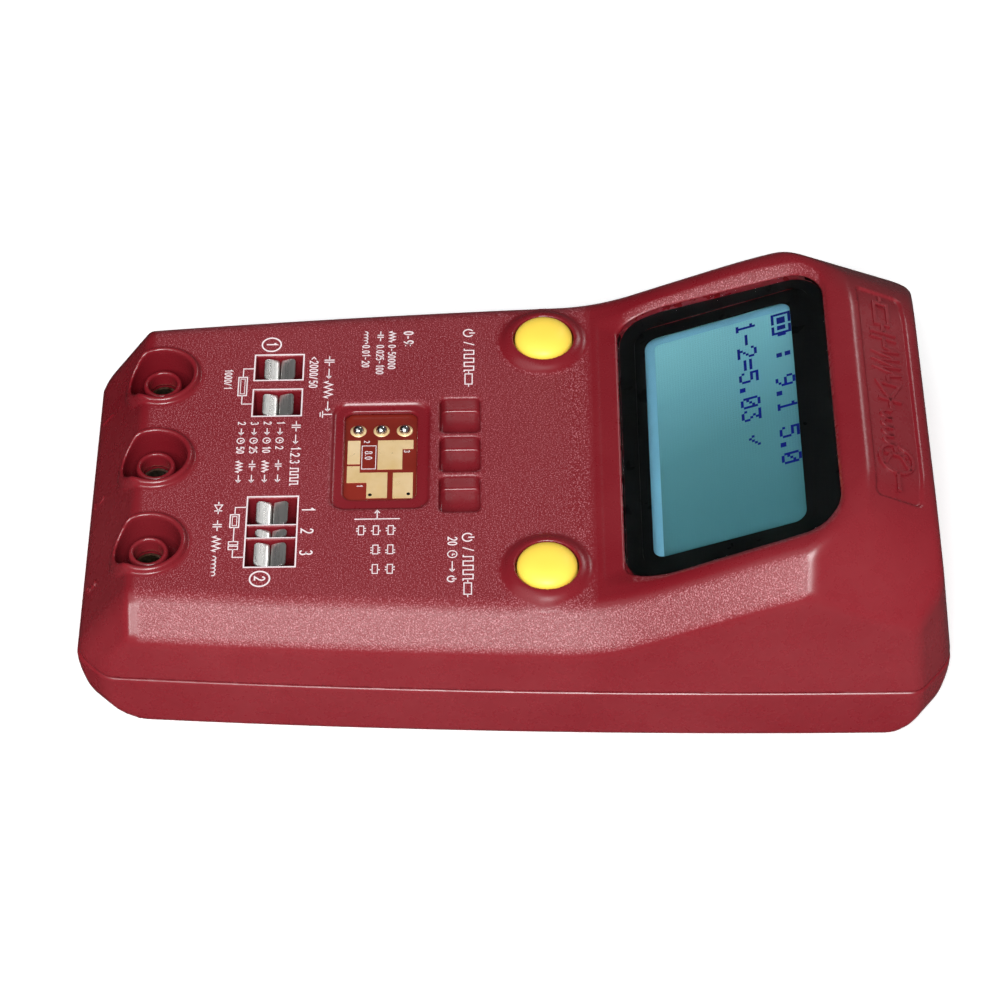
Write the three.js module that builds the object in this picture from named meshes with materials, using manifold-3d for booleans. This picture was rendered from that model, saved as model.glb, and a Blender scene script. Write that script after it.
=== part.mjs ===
// Handheld component tester: two moulded half shells, a tilted display end, three shrouded
// test jacks, two contact ports, a surface-mount test board, two push buttons and a 9 V battery.
// Millimetres. +Z up out of the face, +Y towards the display end, +X to the user's right.
// The origin is under the middle of the case, on the surface it rests on.
import * as THREE from 'three';
import { mergeGeometries, mergeVertices } from 'three/addons/utils/BufferGeometryUtils.js';
import Module from 'manifold-3d';

const wasm = await Module();
wasm.setup();

// ---------------------------------------------------------------- driving dimensions
const GAP = 0.3; // running gap between neighbouring pieces
const WALL = 2.2;
const PAST = 1; // how far a cutter or a buried end reaches past a surface
const SIDES = { jack: 28, hole: 16, button: 28, boss: 14, screw: 12 };
const CASE = {
  halfLength: 70.7, halfWidth: 41.25, widestY: 66.75, sideBow: 3.15e-4,
  socketChamfer: 5, displayChamferX: 7, displayChamferY: 5.5,
  seamZ: 11.3, sideDraft: 0.0787, bevelDrop: 5.4, bevelRun: 5.6,
  bottomRadius: 11, bottomEdge: 1.2, bottomDraft: 0.3,
};
const TOP = {
  slopeFootZ: 12.2, slopeFootY: -70.6, faceStartY: -61.5, faceZ: 25,
  bendY: 14.8, bendReach: 6.5, rise: 0.42, crestY: 44, ridgeY: 56.45, ridgeZ: 40.6,
  endTopY: 67.65, endTopZ: 35.75,
};
const JACK = {
  pitch: 19, y: -58.65, rimRadius: 6.45, wellRadius: 5.5, floorZ: 12, bottomZ: 9.6, rimHeight: 0.9,
  postRadius: 3.25, postTopZ: 23.45, mouthRadius: 2.45, boreRadius: 2.75, sleeveRadius: 2.4,
  plugRadius: 2, sleeveTopZ: 20, tagZ: 7.4, tagThick: 0.8, tagHalfWidth: 1.5, tagEndY: -47.6, tagRiserY: -48.4,
};
const PORT = { y: -38.77, length: 7.95, floorZ: 16, rimWall: 0.7 };
const WELLS = [
  { name: '1a', x: -20.63, width: 5.7 },
  { name: '1b', x: -12.35, width: 5.8 },
  { name: '2a', x: 12.2, width: 5.75 },
  { name: '2b', x: 16.75, width: 2.5 },
  { name: '2c', x: 21.3, width: 5.75 },
];
const LEAF = { thick: 0.35, inset: 0.8, halfGap: 0.12, bendZ: 24, tipOut: 2.2, tipZ: 24.85 };
const POCKET = { y: -8.25, pitch: 8.92, sizeX: 7.86, sizeY: 6.66, radius: 1.2, depth: 3.3, floor: 1.2 };
const SMD = {
  x: -0.3, y: -21.35, mouthX: 23.9, mouthY: 16.1, mouthRadius: 2.4, openX: 20.2, openY: 12.4, openRadius: 1,
  topZ: 23.4, thick: 1.6, boardX: 21.6, boardY: 13.8, pinX: -6.9, pinPitch: 3.86, pinRadius: 0.45,
  holeRadius: 0.8, domeRadius: 0.85, domeHeight: 0.7, lipDepth: 0.6, seatDepth: 6,
};
const BUTTON = {
  x: 25.8, y: 5.85, holeRadius: 5.15, capRadius: 4.8, rimRadius: 5.95, rimHeight: 0.9,
  moatRadius: 7.65, moatDepth: 0.5, domeRimZ: 25.9, domeTopZ: 27.6, flangeRadius: 6,
  flangeZ: 21.5, flangeThick: 0.9, seatDepth: 6,
};
// How the lofted bodies shrink into their hollows, and the least height left over the base.
const HOLLOW = {
  roof: 1.05, bevel: 0.35, minRoof: 1, minEdge: 0.5, endSharpness: 8, minFloor: 0.4, minSide: 0.2,
};
const SWITCH = {
  size: 6, height: 3.5, plungerRadius: 1.75, boreRadius: 2.1, boreDepth: 1.6, plungerTopZ: 21.2,
};
const BOARD = { z: 13.4, thick: 1.6, startY: -47, endY: 18, halfWidth: 31, edge: 2 };
// In the display's own axes: the window's outer face is n = 0, s runs up the slope and n stands out of it.
const DISPLAY = {
  tilt: 0.3588, originY: 15.95,
  recessHalfX: 30.9, recessS0: 0.4, recessS1: 39.9, recessRadius: 7,
  lensHalfX: 29.6, lensS0: 2.5, lensS1: 38.7, lensRadius: 6.3, lensThick: 1.5,
  viewHalfX: 24.8, viewS0: 6.8, viewS1: 32.6, maskThick: 0.2,
  holeHalfX: 27.6, holeS0: 4.4, holeS1: 36.8, frameHalfX: 32.4, frameS1: 40.8, frameDepth: 3,
  stackHalfX: 28, stackS0: 4.2, stackS1: 36.4, glassThick: 1.6, lightThick: 1.8,
  bezelWall: 0.8, boardThick: 0.8, boardOver: 1.4, frameS0: -2, frameTop: -0.5, frameRadius: 3,
  holeRadius: 2, stackRadius: 0.5, cutterReach: 12, maskGap: 0.35,
};
const BATTERY = {
  x0: -26, length: 46.2, y: 43.2, width: 26.5, z: 2.3, height: 17.5, corner: 2.5,
  studRadius: 2.9, studLength: 2.4, studPitch: 12.7, snapThick: 2.6, snapWidth: 23, snapHeight: 12,
};
const DOOR = {
  halfX: 28.7, y0: 28.6, y1: 58.6, thick: 2, corner: 2, tabX: 16, tabWidth: 10, tabReach: 2, tabThick: 0.9,
  tabLift: 0.3, neck: 0.6, gripRibs: 5, gripPitch: 2.2, gripDepth: 0.4, gripX: 14, gripY: 32,
};
const SCREW = {
  headRadius: 2.4, headHeight: 1.6, shankRadius: 1.15, length: 14, headZ: 1.6, boardLength: 6,
  crossDepth: 0.8, crossWidth: 0.7, crossReach: 1.5,
  bossRadius: 3, holeRadius: 1.45, sinkRadius: 2.7, socketPostZ: 24, displayPostZ: 36,
  pilotDepth: 6.5,
};
const CASE_SCREWS = [[-29.3, -57.5], [29.3, -57.5], [-34.4, 50], [34.4, 50]];
const BOARD_SCREWS = [[-27.3, -44], [27.3, -44], [-27.5, 15], [27.5, 15]];
const LEAD = { radius: 0.75, sides: 3, steps: 14, offset: 6 };
// Board components as [x0, x1, y0, y1] and a height over the board, or a centre and a size.
const CHIP = { plan: [-3.5, 3.5, -2, 5], height: 1.2 };
const CRYSTAL = { plan: [-16, -4.8, -1, 3.6], height: 3.4, corner: 2 };
const REGULATOR = { plan: [14, 18.6, -30, -26.4], height: 4.2 };
const HEADER = { plan: [-20, 20, 12.5, 15], height: 2.6 };
const CAPACITOR = { xs: [-20, -12], y: 8, radius: 2.5, height: 7 };
const RESISTOR = { x: -6, y: -38, radius: 1.7, length: 7, hang: 1.8 };

// ---------------------------------------------------------------- colours and finishes
const finish = (color, roughness, metalness) => new THREE.MeshStandardMaterial({ color, roughness, metalness });
const LOOK = {
  shell: () => finish(0x7d1a26, 0.5, 0), door: () => finish(0x781825, 0.5, 0),
  lens: () => finish(0xbfd4d8, 0.05, 0), mask: () => finish(0x0b0d0e, 0.2, 0),
  glass: () => finish(0x5f9fae, 0.2, 0), light: () => finish(0x8fd0de, 0.4, 0),
  nickel: () => finish(0xc9c9c6, 0.25, 1), brass: () => finish(0xcaa45a, 0.3, 1),
  yellow: () => finish(0xffd83a, 0.25, 0), black: () => finish(0x1a1a1c, 0.5, 0),
  boardGreen: () => finish(0x1f5a35, 0.45, 0), boardRed: () => finish(0xa8281c, 0.4, 0),
  steel: () => finish(0x9a9a9a, 0.35, 1), solder: () => finish(0xd8d8d8, 0.2, 1),
  battery: () => finish(0x2a2d33, 0.4, 0.2), blue: () => finish(0x1c2f6b, 0.4, 0),
  red: () => finish(0xb0141a, 0.45, 0), resistor: () => finish(0x8fa9b5, 0.6, 0),
};

// ---------------------------------------------------------------- solids
const part = new THREE.Group();

function bare(geometry) {
  geometry.deleteAttribute('normal');
  geometry.deleteAttribute('uv');
  return mergeVertices(geometry, 1e-4);
}

function solid(geometry) {
  const merged = bare(geometry);
  return new wasm.Manifold(new wasm.Mesh({
    numProp: 3,
    vertProperties: new Float32Array(merged.attributes.position.array),
    triVerts: new Uint32Array(merged.index.array),
  }));
}

function toGeometry(body) {
  const mesh = body.getMesh();
  const geometry = new THREE.BufferGeometry();
  geometry.setAttribute('position', new THREE.BufferAttribute(new Float32Array(mesh.vertProperties), 3));
  geometry.setIndex(new THREE.BufferAttribute(new Uint32Array(mesh.triVerts), 1));
  geometry.computeVertexNormals();
  return geometry;
}

function add(name, body, material) {
  const geometry = body.isBufferGeometry ? bare(body) : toGeometry(body);
  const mesh = new THREE.Mesh(geometry, material);
  mesh.name = name;
  part.add(mesh);
  return mesh;
}

function box(x0, x1, y0, y1, z0, z1) {
  const geometry = new THREE.BoxGeometry(x1 - x0, y1 - y0, z1 - z0);
  return solid(geometry.translate((x0 + x1) / 2, (y0 + y1) / 2, (z0 + z1) / 2));
}

function cylinder(x, y, z0, z1, radius, sides = SIDES.hole) {
  const geometry = new THREE.CylinderGeometry(radius, radius, z1 - z0, sides);
  return solid(geometry.rotateX(Math.PI / 2).translate(x, y, (z0 + z1) / 2));
}

// A turned piece about a vertical axis at x, y. Its points are [radius, z], from the bottom up.
function turned(points, x, y, sides = SIDES.hole) {
  const profile = points.map(([radius, z]) => new THREE.Vector2(radius, z));
  return solid(new THREE.LatheGeometry(profile, sides).rotateX(Math.PI / 2).translate(x, y, 0));
}

function roundedShape(x0, x1, y0, y1, radius) {
  const shape = new THREE.Shape();
  shape.moveTo(x0 + radius, y0);
  shape.lineTo(x1 - radius, y0);
  shape.absarc(x1 - radius, y0 + radius, radius, -Math.PI / 2, 0);
  shape.lineTo(x1, y1 - radius);
  shape.absarc(x1 - radius, y1 - radius, radius, 0, Math.PI / 2);
  shape.lineTo(x0 + radius, y1);
  shape.absarc(x0 + radius, y1 - radius, radius, Math.PI / 2, Math.PI);
  shape.lineTo(x0, y0 + radius);
  shape.absarc(x0 + radius, y0 + radius, radius, Math.PI, Math.PI * 1.5);
  return shape;
}

function roundedBlock(x0, x1, y0, y1, z0, z1, radius) {
  const shape = roundedShape(x0, x1, y0, y1, radius);
  const geometry = new THREE.ExtrudeGeometry(shape, { depth: z1 - z0, bevelEnabled: false, curveSegments: 2 });
  return solid(geometry.translate(0, 0, z0));
}

// A rounded block on the tilted display face: s up the slope, n out of it.
function tiltedBlock(halfX, s0, s1, n0, n1, radius) {
  const shape = roundedShape(-halfX, halfX, s0, s1, radius);
  const geometry = new THREE.ExtrudeGeometry(shape, { depth: n1 - n0, bevelEnabled: false, curveSegments: 2 });
  geometry.translate(0, 0, n0);
  return solid(geometry.rotateX(DISPLAY.tilt).translate(0, DISPLAY.originY, TOP.faceZ));
}

// ---------------------------------------------------------------- case outline
function sideHalfWidth(y) {
  const bowed = CASE.halfWidth - CASE.sideBow * (y - CASE.widestY) ** 2;
  const fromSocketEnd = y + CASE.halfLength;
  const fromDisplayEnd = CASE.halfLength - y;
  const socketCorner = bowed - Math.max(0, CASE.socketChamfer - fromSocketEnd);
  const slant = CASE.displayChamferX / CASE.displayChamferY;
  const displayCorner = bowed - Math.max(0, CASE.displayChamferY - fromDisplayEnd) * slant;
  return Math.min(socketCorner, displayCorner);
}

// The top line of the case along Y: socket-end slope, flat face, soft bend, display slope, crest, end slope.
function topHeight(y) {
  const { rise, bendReach: reach } = TOP;
  if (y < TOP.faceStartY) {
    const fall = (TOP.faceZ - TOP.slopeFootZ) / (TOP.faceStartY - TOP.slopeFootY);
    return TOP.faceZ - fall * (TOP.faceStartY - y);
  }
  if (y < TOP.bendY - reach) return TOP.faceZ;
  if (y < TOP.bendY + reach) return TOP.faceZ + (rise * (y - TOP.bendY + reach) ** 2) / (4 * reach);
  if (y < TOP.crestY) return TOP.faceZ + rise * (y - TOP.bendY);
  const crestZ = TOP.faceZ + rise * (TOP.crestY - TOP.bendY);
  const crestRise = (TOP.ridgeZ - crestZ) / (TOP.ridgeY - TOP.crestY);
  if (y < TOP.ridgeY) return crestZ + crestRise * (y - TOP.crestY);
  const fall = (TOP.ridgeZ - TOP.endTopZ) / (TOP.endTopY - TOP.ridgeY);
  return TOP.ridgeZ - fall * (y - TOP.ridgeY);
}

const FACE_STATIONS = [-45, -28, -10, TOP.bendY - TOP.bendReach];
const BEND_STATIONS = [1, 2, 3, 4].map((i) => TOP.bendY + TOP.bendReach * (i / 2 - 1));
const UPPER_STATIONS = [
  { low: -CASE.halfLength, high: TOP.slopeFootY },
  { low: CASE.socketChamfer - CASE.halfLength, high: CASE.socketChamfer - CASE.halfLength },
  { low: TOP.faceStartY, high: TOP.faceStartY },
  ...[...FACE_STATIONS, ...BEND_STATIONS, 30, TOP.crestY, TOP.ridgeY].map((y) => ({ low: y, high: y })),
  { low: CASE.halfLength - CASE.displayChamferY, high: 63.2 },
  { low: CASE.halfLength, high: TOP.endTopY },
];

// A lofted body: each station is a cross-section of four low points and four high points.
function loft(sections) {
  const rows = sections.length - 1;
  const geometry = new THREE.BoxGeometry(1, 1, 1, 3, rows, 1);
  const position = geometry.attributes.position;
  for (let i = 0; i < position.count; i += 1) {
    const column = Math.round((position.getX(i) + 0.5) * 3);
    const section = sections[Math.round((position.getY(i) + 0.5) * rows)];
    const edge = position.getZ(i) > 0 ? section.high : section.low;
    const point = column === 0 || column === 3 ? edge.outer : edge.inner;
    position.setXYZ(i, point[0] * (column < 2 ? -1 : 1), edge.y, point[1]);
  }
  return solid(geometry);
}

// The upper half, shrunk inwards by inset and grown upwards by lift.
function upperBody(inset, lift, baseZ) {
  const sections = UPPER_STATIONS.map(({ low, high }) => {
    const nearEnd = Math.abs(low) > -TOP.faceStartY + PAST;
    const shift = nearEnd ? -Math.sign(low) * inset : 0;
    const lowHalf = sideHalfWidth(low) - inset;
    const topZ = Math.max(topHeight(high) - inset * HOLLOW.roof + lift, baseZ + HOLLOW.minRoof);
    const bevelZ = Math.max(topZ - CASE.bevelDrop, baseZ + HOLLOW.minEdge);
    const bevelHalf = lowHalf - CASE.sideDraft * Math.max(bevelZ - CASE.seamZ, 0);
    const topHalf = bevelHalf - CASE.bevelRun + inset * HOLLOW.bevel;
    return {
      low: { y: low + shift, outer: [lowHalf, baseZ], inner: [topHalf, baseZ] },
      high: { y: high + shift, outer: [bevelHalf, bevelZ], inner: [topHalf, topZ] },
    };
  });
  return loft(sections);
}

// The lower half: a shallow tray whose ends curve up to the seam.
function lowerBody(inset, topZ) {
  const radius = CASE.bottomRadius;
  const angles = [0, 18, 36, 54, 72, 90].map((degrees) => THREE.MathUtils.degToRad(degrees));
  const socketEnd = angles.map((a) => {
    return [-CASE.halfLength + radius * (1 - Math.cos(a)), radius * (1 - Math.sin(a))];
  });
  const displayEnd = socketEnd.map(([y, z]) => [-y, z]).reverse();
  const middle = [-40, -20, 0, 20, 40].map((y) => [y, 0]);
  const sections = [...socketEnd, ...middle, ...displayEnd].map(([y, z]) => {
    const reach = (Math.abs(y) / CASE.halfLength) ** HOLLOW.endSharpness;
    const place = y - Math.sign(y) * inset * reach;
    const half = sideHalfWidth(y) - inset;
    const bottomZ = Math.min(z + inset, topZ - HOLLOW.minFloor);
    const edgeZ = Math.min(bottomZ + CASE.bottomEdge, topZ - HOLLOW.minSide);
    const innerHalf = half - CASE.bottomDraft - CASE.bottomEdge;
    return {
      low: { y: place, outer: [half - CASE.bottomDraft, edgeZ], inner: [innerHalf, bottomZ] },
      high: { y: place, outer: [half, topZ], inner: [innerHalf, topZ] },
    };
  });
  return loft(sections);
}

const jackXs = [-JACK.pitch, 0, JACK.pitch];
const buttonXs = [-BUTTON.x, BUTTON.x];
const boardTop = BOARD.z + BOARD.thick;

// ---------------------------------------------------------------- upper shell
function jackWell(shell, x) {
  const rimZ = TOP.faceZ + JACK.rimHeight;
  const tower = cylinder(x, JACK.y, JACK.bottomZ, rimZ, JACK.rimRadius, SIDES.jack);
  const grown = tower.intersect(upperBody(0, JACK.rimHeight, JACK.bottomZ - PAST));
  const well = turned([
    [JACK.postRadius, JACK.floorZ], [JACK.wellRadius, JACK.floorZ], [JACK.wellRadius, rimZ + PAST],
    [0, rimZ + PAST], [0, JACK.postTopZ], [JACK.postRadius, JACK.postTopZ], [JACK.postRadius, JACK.floorZ],
  ], x, JACK.y, SIDES.jack);
  const bore = cylinder(x, JACK.y, 0, JACK.sleeveTopZ + GAP, JACK.boreRadius);
  const mouth = cylinder(x, JACK.y, JACK.sleeveTopZ, rimZ + PAST, JACK.mouthRadius);
  return shell.add(grown).subtract(well).subtract(bore).subtract(mouth);
}

function buttonSeat(shell, x) {
  const z = TOP.faceZ;
  const moat = cylinder(x, BUTTON.y, z - BUTTON.moatDepth, z + PAST, BUTTON.moatRadius, SIDES.button);
  const rim = cylinder(x, BUTTON.y, z - PAST, z + BUTTON.rimHeight, BUTTON.rimRadius, SIDES.button);
  const hole = cylinder(x, BUTTON.y, z - BUTTON.seatDepth, z + 2 * PAST, BUTTON.holeRadius, SIDES.button);
  return shell.subtract(moat).add(rim).subtract(hole);
}

function pockets(shell) {
  const reachX = POCKET.pitch + POCKET.sizeX / 2 + POCKET.floor;
  const reachY = POCKET.sizeY / 2 + POCKET.floor;
  const floorZ = TOP.faceZ - POCKET.depth;
  const under = box(-reachX, reachX, POCKET.y - reachY, POCKET.y + reachY, floorZ - POCKET.floor,
    TOP.faceZ - PAST);
  const cuts = [-1, 0, 1].map((i) => {
    const x = i * POCKET.pitch;
    const [halfX, halfY] = [POCKET.sizeX / 2, POCKET.sizeY / 2];
    return roundedBlock(x - halfX, x + halfX, POCKET.y - halfY, POCKET.y + halfY, floorZ, TOP.faceZ + PAST,
      POCKET.radius);
  });
  return cuts.reduce((body, cut) => body.subtract(cut), shell.add(under));
}

function portWells(shell) {
  return WELLS.reduce((body, { x, width }) => {
    const [halfX, halfY] = [width / 2, PORT.length / 2];
    const wall = PORT.rimWall;
    const chimney = box(x - halfX - wall, x + halfX + wall, PORT.y - halfY - wall, PORT.y + halfY + wall,
      PORT.floorZ, TOP.faceZ - PAST);
    const cut = box(x - halfX, x + halfX, PORT.y - halfY, PORT.y + halfY, PORT.floorZ - PAST, TOP.faceZ + PAST);
    return body.add(chimney).subtract(cut);
  }, shell);
}

function smdWindow(shell) {
  const [x, y] = [SMD.x, SMD.y];
  const lip = roundedBlock(x - SMD.mouthX / 2, x + SMD.mouthX / 2, y - SMD.mouthY / 2, y + SMD.mouthY / 2,
    TOP.faceZ - SMD.lipDepth, TOP.faceZ + PAST, SMD.mouthRadius);
  const opening = roundedBlock(x - SMD.openX / 2, x + SMD.openX / 2, y - SMD.openY / 2, y + SMD.openY / 2,
    TOP.faceZ - SMD.seatDepth, TOP.faceZ + PAST, SMD.openRadius);
  const seat = box(x - SMD.boardX / 2 - GAP, x + SMD.boardX / 2 + GAP, y - SMD.boardY / 2 - GAP,
    y + SMD.boardY / 2 + GAP, TOP.faceZ - SMD.seatDepth, SMD.topZ + GAP);
  return shell.subtract(lip).subtract(opening).subtract(seat);
}

function displayWindow(shell, outer) {
  const d = DISPLAY;
  const far = d.cutterReach;
  const ledge = tiltedBlock(d.frameHalfX, d.frameS0, d.frameS1, -d.frameDepth, d.frameTop, d.frameRadius);
  const recess = tiltedBlock(d.recessHalfX, d.recessS0, d.recessS1, 0, far, d.recessRadius);
  const seatZ = -d.lensThick - GAP;
  const seat = tiltedBlock(d.lensHalfX + GAP, d.lensS0 - GAP, d.lensS1 + GAP, seatZ, far, d.lensRadius);
  const hole = tiltedBlock(d.holeHalfX, d.holeS0, d.holeS1, -far, far, d.holeRadius);
  return shell.add(ledge.intersect(outer)).subtract(recess).subtract(seat).subtract(hole);
}

function hangingBosses(shell) {
  const posts = [
    ...CASE_SCREWS.map(([x, y]) => {
      return { x, y, foot: CASE.seamZ + GAP, top: y < 0 ? SCREW.socketPostZ : SCREW.displayPostZ };
    }),
    ...BOARD_SCREWS.map(([x, y]) => ({ x, y, foot: boardTop + GAP, top: TOP.faceZ - PAST })),
  ];
  return posts.reduce((body, { x, y, foot, top }) => {
    const post = cylinder(x, y, foot, top + PAST, SCREW.bossRadius, SIDES.boss);
    const pilot = cylinder(x, y, foot - PAST, foot + SCREW.pilotDepth, SCREW.holeRadius, SIDES.screw);
    return body.add(post).subtract(pilot);
  }, shell);
}

function upperShell() {
  const outer = upperBody(0, 0, CASE.seamZ);
  const hollow = outer.subtract(upperBody(WALL, 0, CASE.seamZ - WALL - PAST));
  const withBosses = hangingBosses(hollow).intersect(outer);
  const withPorts = smdWindow(portWells(pockets(withBosses)));
  const withButtons = buttonXs.reduce(buttonSeat, withPorts);
  const withJacks = jackXs.reduce(jackWell, withButtons);
  return displayWindow(withJacks, outer);
}

// ---------------------------------------------------------------- lower shell and battery door
function lowerShell() {
  const topZ = CASE.seamZ - GAP;
  let shell = lowerBody(0, topZ).subtract(lowerBody(WALL, topZ + WALL + PAST));
  for (const [x, y] of CASE_SCREWS) {
    shell = shell.add(cylinder(x, y, WALL / 2, topZ, SCREW.bossRadius, SIDES.boss));
    shell = shell.subtract(cylinder(x, y, -PAST, topZ + PAST, SCREW.holeRadius, SIDES.screw));
    const sinkZ = SCREW.headZ + SCREW.headHeight;
    shell = shell.subtract(cylinder(x, y, -PAST, sinkZ, SCREW.sinkRadius, SIDES.boss));
  }
  const doorway = box(-DOOR.halfX - GAP, DOOR.halfX + GAP, DOOR.y0 - GAP, DOOR.y1 + GAP, -PAST, WALL + PAST);
  return shell.subtract(doorway);
}

function batteryDoor() {
  let door = roundedBlock(-DOOR.halfX, DOOR.halfX, DOOR.y0, DOOR.y1, 0, DOOR.thick, DOOR.corner);
  for (const x of [-DOOR.tabX, DOOR.tabX]) {
    const half = DOOR.tabWidth / 2;
    const tabZ = WALL + DOOR.tabLift;
    const neckY = DOOR.y1 - DOOR.neck;
    door = door.add(box(x - half, x + half, neckY, DOOR.y1, DOOR.thick / 2, tabZ + DOOR.tabThick));
    door = door.add(box(x - half, x + half, neckY, DOOR.y1 + DOOR.tabReach, tabZ, tabZ + DOOR.tabThick));
  }
  for (let i = 0; i < DOOR.gripRibs; i += 1) {
    const y = DOOR.gripY + i * DOOR.gripPitch;
    const groove = box(-DOOR.gripX / 2, DOOR.gripX / 2, y, y + DOOR.gripPitch / 2, -PAST, DOOR.gripDepth);
    door = door.subtract(groove);
  }
  return door;
}

// ---------------------------------------------------------------- display
function displayPieces() {
  const d = DISPLAY;
  const lensBack = -d.lensThick;
  const lens = tiltedBlock(d.lensHalfX, d.lensS0, d.lensS1, lensBack, 0, d.lensRadius);
  add('display_lens', lens, LOOK.lens());

  const glassTop = -d.frameDepth - GAP;
  const glassBack = glassTop - d.glassThick;
  const lightBack = glassBack - GAP - d.lightThick;
  const [halfX, s0, s1] = [d.stackHalfX, d.stackS0, d.stackS1];
  add('lcd_glass', tiltedBlock(halfX, s0, s1, glassBack, glassTop, d.stackRadius), LOOK.glass());
  add('lcd_backlight', tiltedBlock(halfX, s0, s1, lightBack, glassBack - GAP, d.stackRadius), LOOK.light());

  const inside = tiltedBlock(halfX + GAP, s0 - GAP, s1 + GAP, lightBack - PAST, glassTop + PAST, d.stackRadius);
  const rim = GAP + d.bezelWall;
  const bezel = tiltedBlock(halfX + rim, s0 - rim, s1 + rim, lightBack, glassTop, 2 * d.stackRadius);
  add('lcd_frame', bezel.subtract(inside), LOOK.steel());

  const over = d.boardOver;
  const boardFace = lightBack - GAP;
  const board = tiltedBlock(halfX + over, s0 - over, s1 + over, boardFace - d.boardThick, boardFace, over);
  add('lcd_board', board, LOOK.boardGreen());

  // The black printed surround, a film behind the lens with the viewing window cut out of it.
  const maskTop = lensBack - d.maskGap;
  const maskBack = maskTop - d.maskThick;
  const film = tiltedBlock(d.holeHalfX - GAP, d.holeS0 + GAP, d.holeS1 - GAP, maskBack, maskTop, d.holeRadius);
  const view = tiltedBlock(d.viewHalfX, d.viewS0, d.viewS1, maskBack - PAST, maskTop + PAST, d.holeRadius);
  add('display_mask', film.subtract(view), LOOK.mask());
}

// ---------------------------------------------------------------- jacks, ports and the test board
function jackSleeve(x) {
  const tube = turned([
    [JACK.plugRadius, JACK.tagZ + JACK.tagThick], [JACK.sleeveRadius, JACK.tagZ + JACK.tagThick],
    [JACK.sleeveRadius, JACK.sleeveTopZ], [JACK.plugRadius, JACK.sleeveTopZ],
    [JACK.plugRadius, JACK.tagZ + JACK.tagThick],
  ], x, JACK.y);
  const half = JACK.tagHalfWidth;
  const base = cylinder(x, JACK.y, JACK.tagZ, JACK.tagZ + 1.5 * JACK.tagThick, JACK.sleeveRadius);
  const strip = box(x - half, x + half, JACK.y, JACK.tagEndY, JACK.tagZ, JACK.tagZ + JACK.tagThick);
  const riser = box(x - half, x + half, JACK.tagRiserY, JACK.tagEndY, JACK.tagZ, boardTop);
  return tube.add(base).add(strip).add(riser);
}

// One folded contact leaf: side is -1 for the leaf nearer the jacks and 1 for the other.
function contactLeaf(x, width, side) {
  const y0 = PORT.y + side * LEAF.halfGap;
  const outline = [
    [0, boardTop + GAP], [0, LEAF.bendZ], [LEAF.tipOut, LEAF.tipZ],
    [LEAF.tipOut + LEAF.thick, LEAF.tipZ - LEAF.thick], [LEAF.thick, LEAF.bendZ - LEAF.thick],
    [LEAF.thick, boardTop + GAP],
  ].map(([out, z]) => new THREE.Vector2(side * out, z));
  const shape = new THREE.Shape(side > 0 ? outline.reverse() : outline);
  const depth = width - LEAF.inset;
  const geometry = new THREE.ExtrudeGeometry(shape, { depth, bevelEnabled: false });
  geometry.rotateX(Math.PI / 2).rotateZ(Math.PI / 2);
  return solid(geometry.translate(x - depth / 2, y0, 0));
}

function contacts() {
  for (const { name, x, width } of WELLS) {
    add(`contact_${name}_near`, contactLeaf(x, width, -1), LOOK.nickel());
    add(`contact_${name}_far`, contactLeaf(x, width, 1), LOOK.nickel());
  }
}

function smdBoard() {
  const [x, y] = [SMD.x, SMD.y];
  let board = box(x - SMD.boardX / 2, x + SMD.boardX / 2, y - SMD.boardY / 2, y + SMD.boardY / 2,
    SMD.topZ - SMD.thick, SMD.topZ);
  for (let i = -1; i <= 1; i += 1) {
    const pinY = y + i * SMD.pinPitch;
    board = board.subtract(cylinder(SMD.pinX, pinY, 0, TOP.faceZ, SMD.holeRadius));
    const pin = turned([
      [0, boardTop + GAP], [SMD.pinRadius, boardTop + GAP], [SMD.pinRadius, SMD.topZ],
      [SMD.domeRadius, SMD.topZ + GAP + SMD.domeHeight * 0.1],
      [SMD.domeRadius * 0.8, SMD.topZ + GAP + SMD.domeHeight * 0.6],
      [0, SMD.topZ + GAP + SMD.domeHeight],
    ], SMD.pinX, pinY, SIDES.screw);
    add(`smd_pin_${i + 2}`, pin, LOOK.solder());
  }
  add('smd_test_board', board, LOOK.boardRed());
}

// ---------------------------------------------------------------- buttons
function button(side, x) {
  const b = BUTTON;
  const cap = turned([
    [0, b.flangeZ], [b.flangeRadius, b.flangeZ], [b.flangeRadius, b.flangeZ + b.flangeThick],
    [b.capRadius, b.flangeZ + b.flangeThick], [b.capRadius, b.domeRimZ],
    [b.capRadius * 0.86, b.domeRimZ + (b.domeTopZ - b.domeRimZ) * 0.5],
    [b.capRadius * 0.5, b.domeRimZ + (b.domeTopZ - b.domeRimZ) * 0.88], [0, b.domeTopZ],
  ], x, b.y, SIDES.button);
  add(`button_cap_${side}`, cap, LOOK.yellow());

  const top = boardTop + GAP + SWITCH.height;
  const half = SWITCH.size / 2;
  const bore = cylinder(x, b.y, top - SWITCH.boreDepth, top + PAST, SWITCH.boreRadius);
  const block = box(x - half, x + half, b.y - half, b.y + half, boardTop + GAP, top);
  add(`switch_body_${side}`, block.subtract(bore), LOOK.black());
  const plunger = cylinder(x, b.y, top - GAP, SWITCH.plungerTopZ, SWITCH.plungerRadius);
  add(`switch_plunger_${side}`, plunger, LOOK.black());
}

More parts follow.
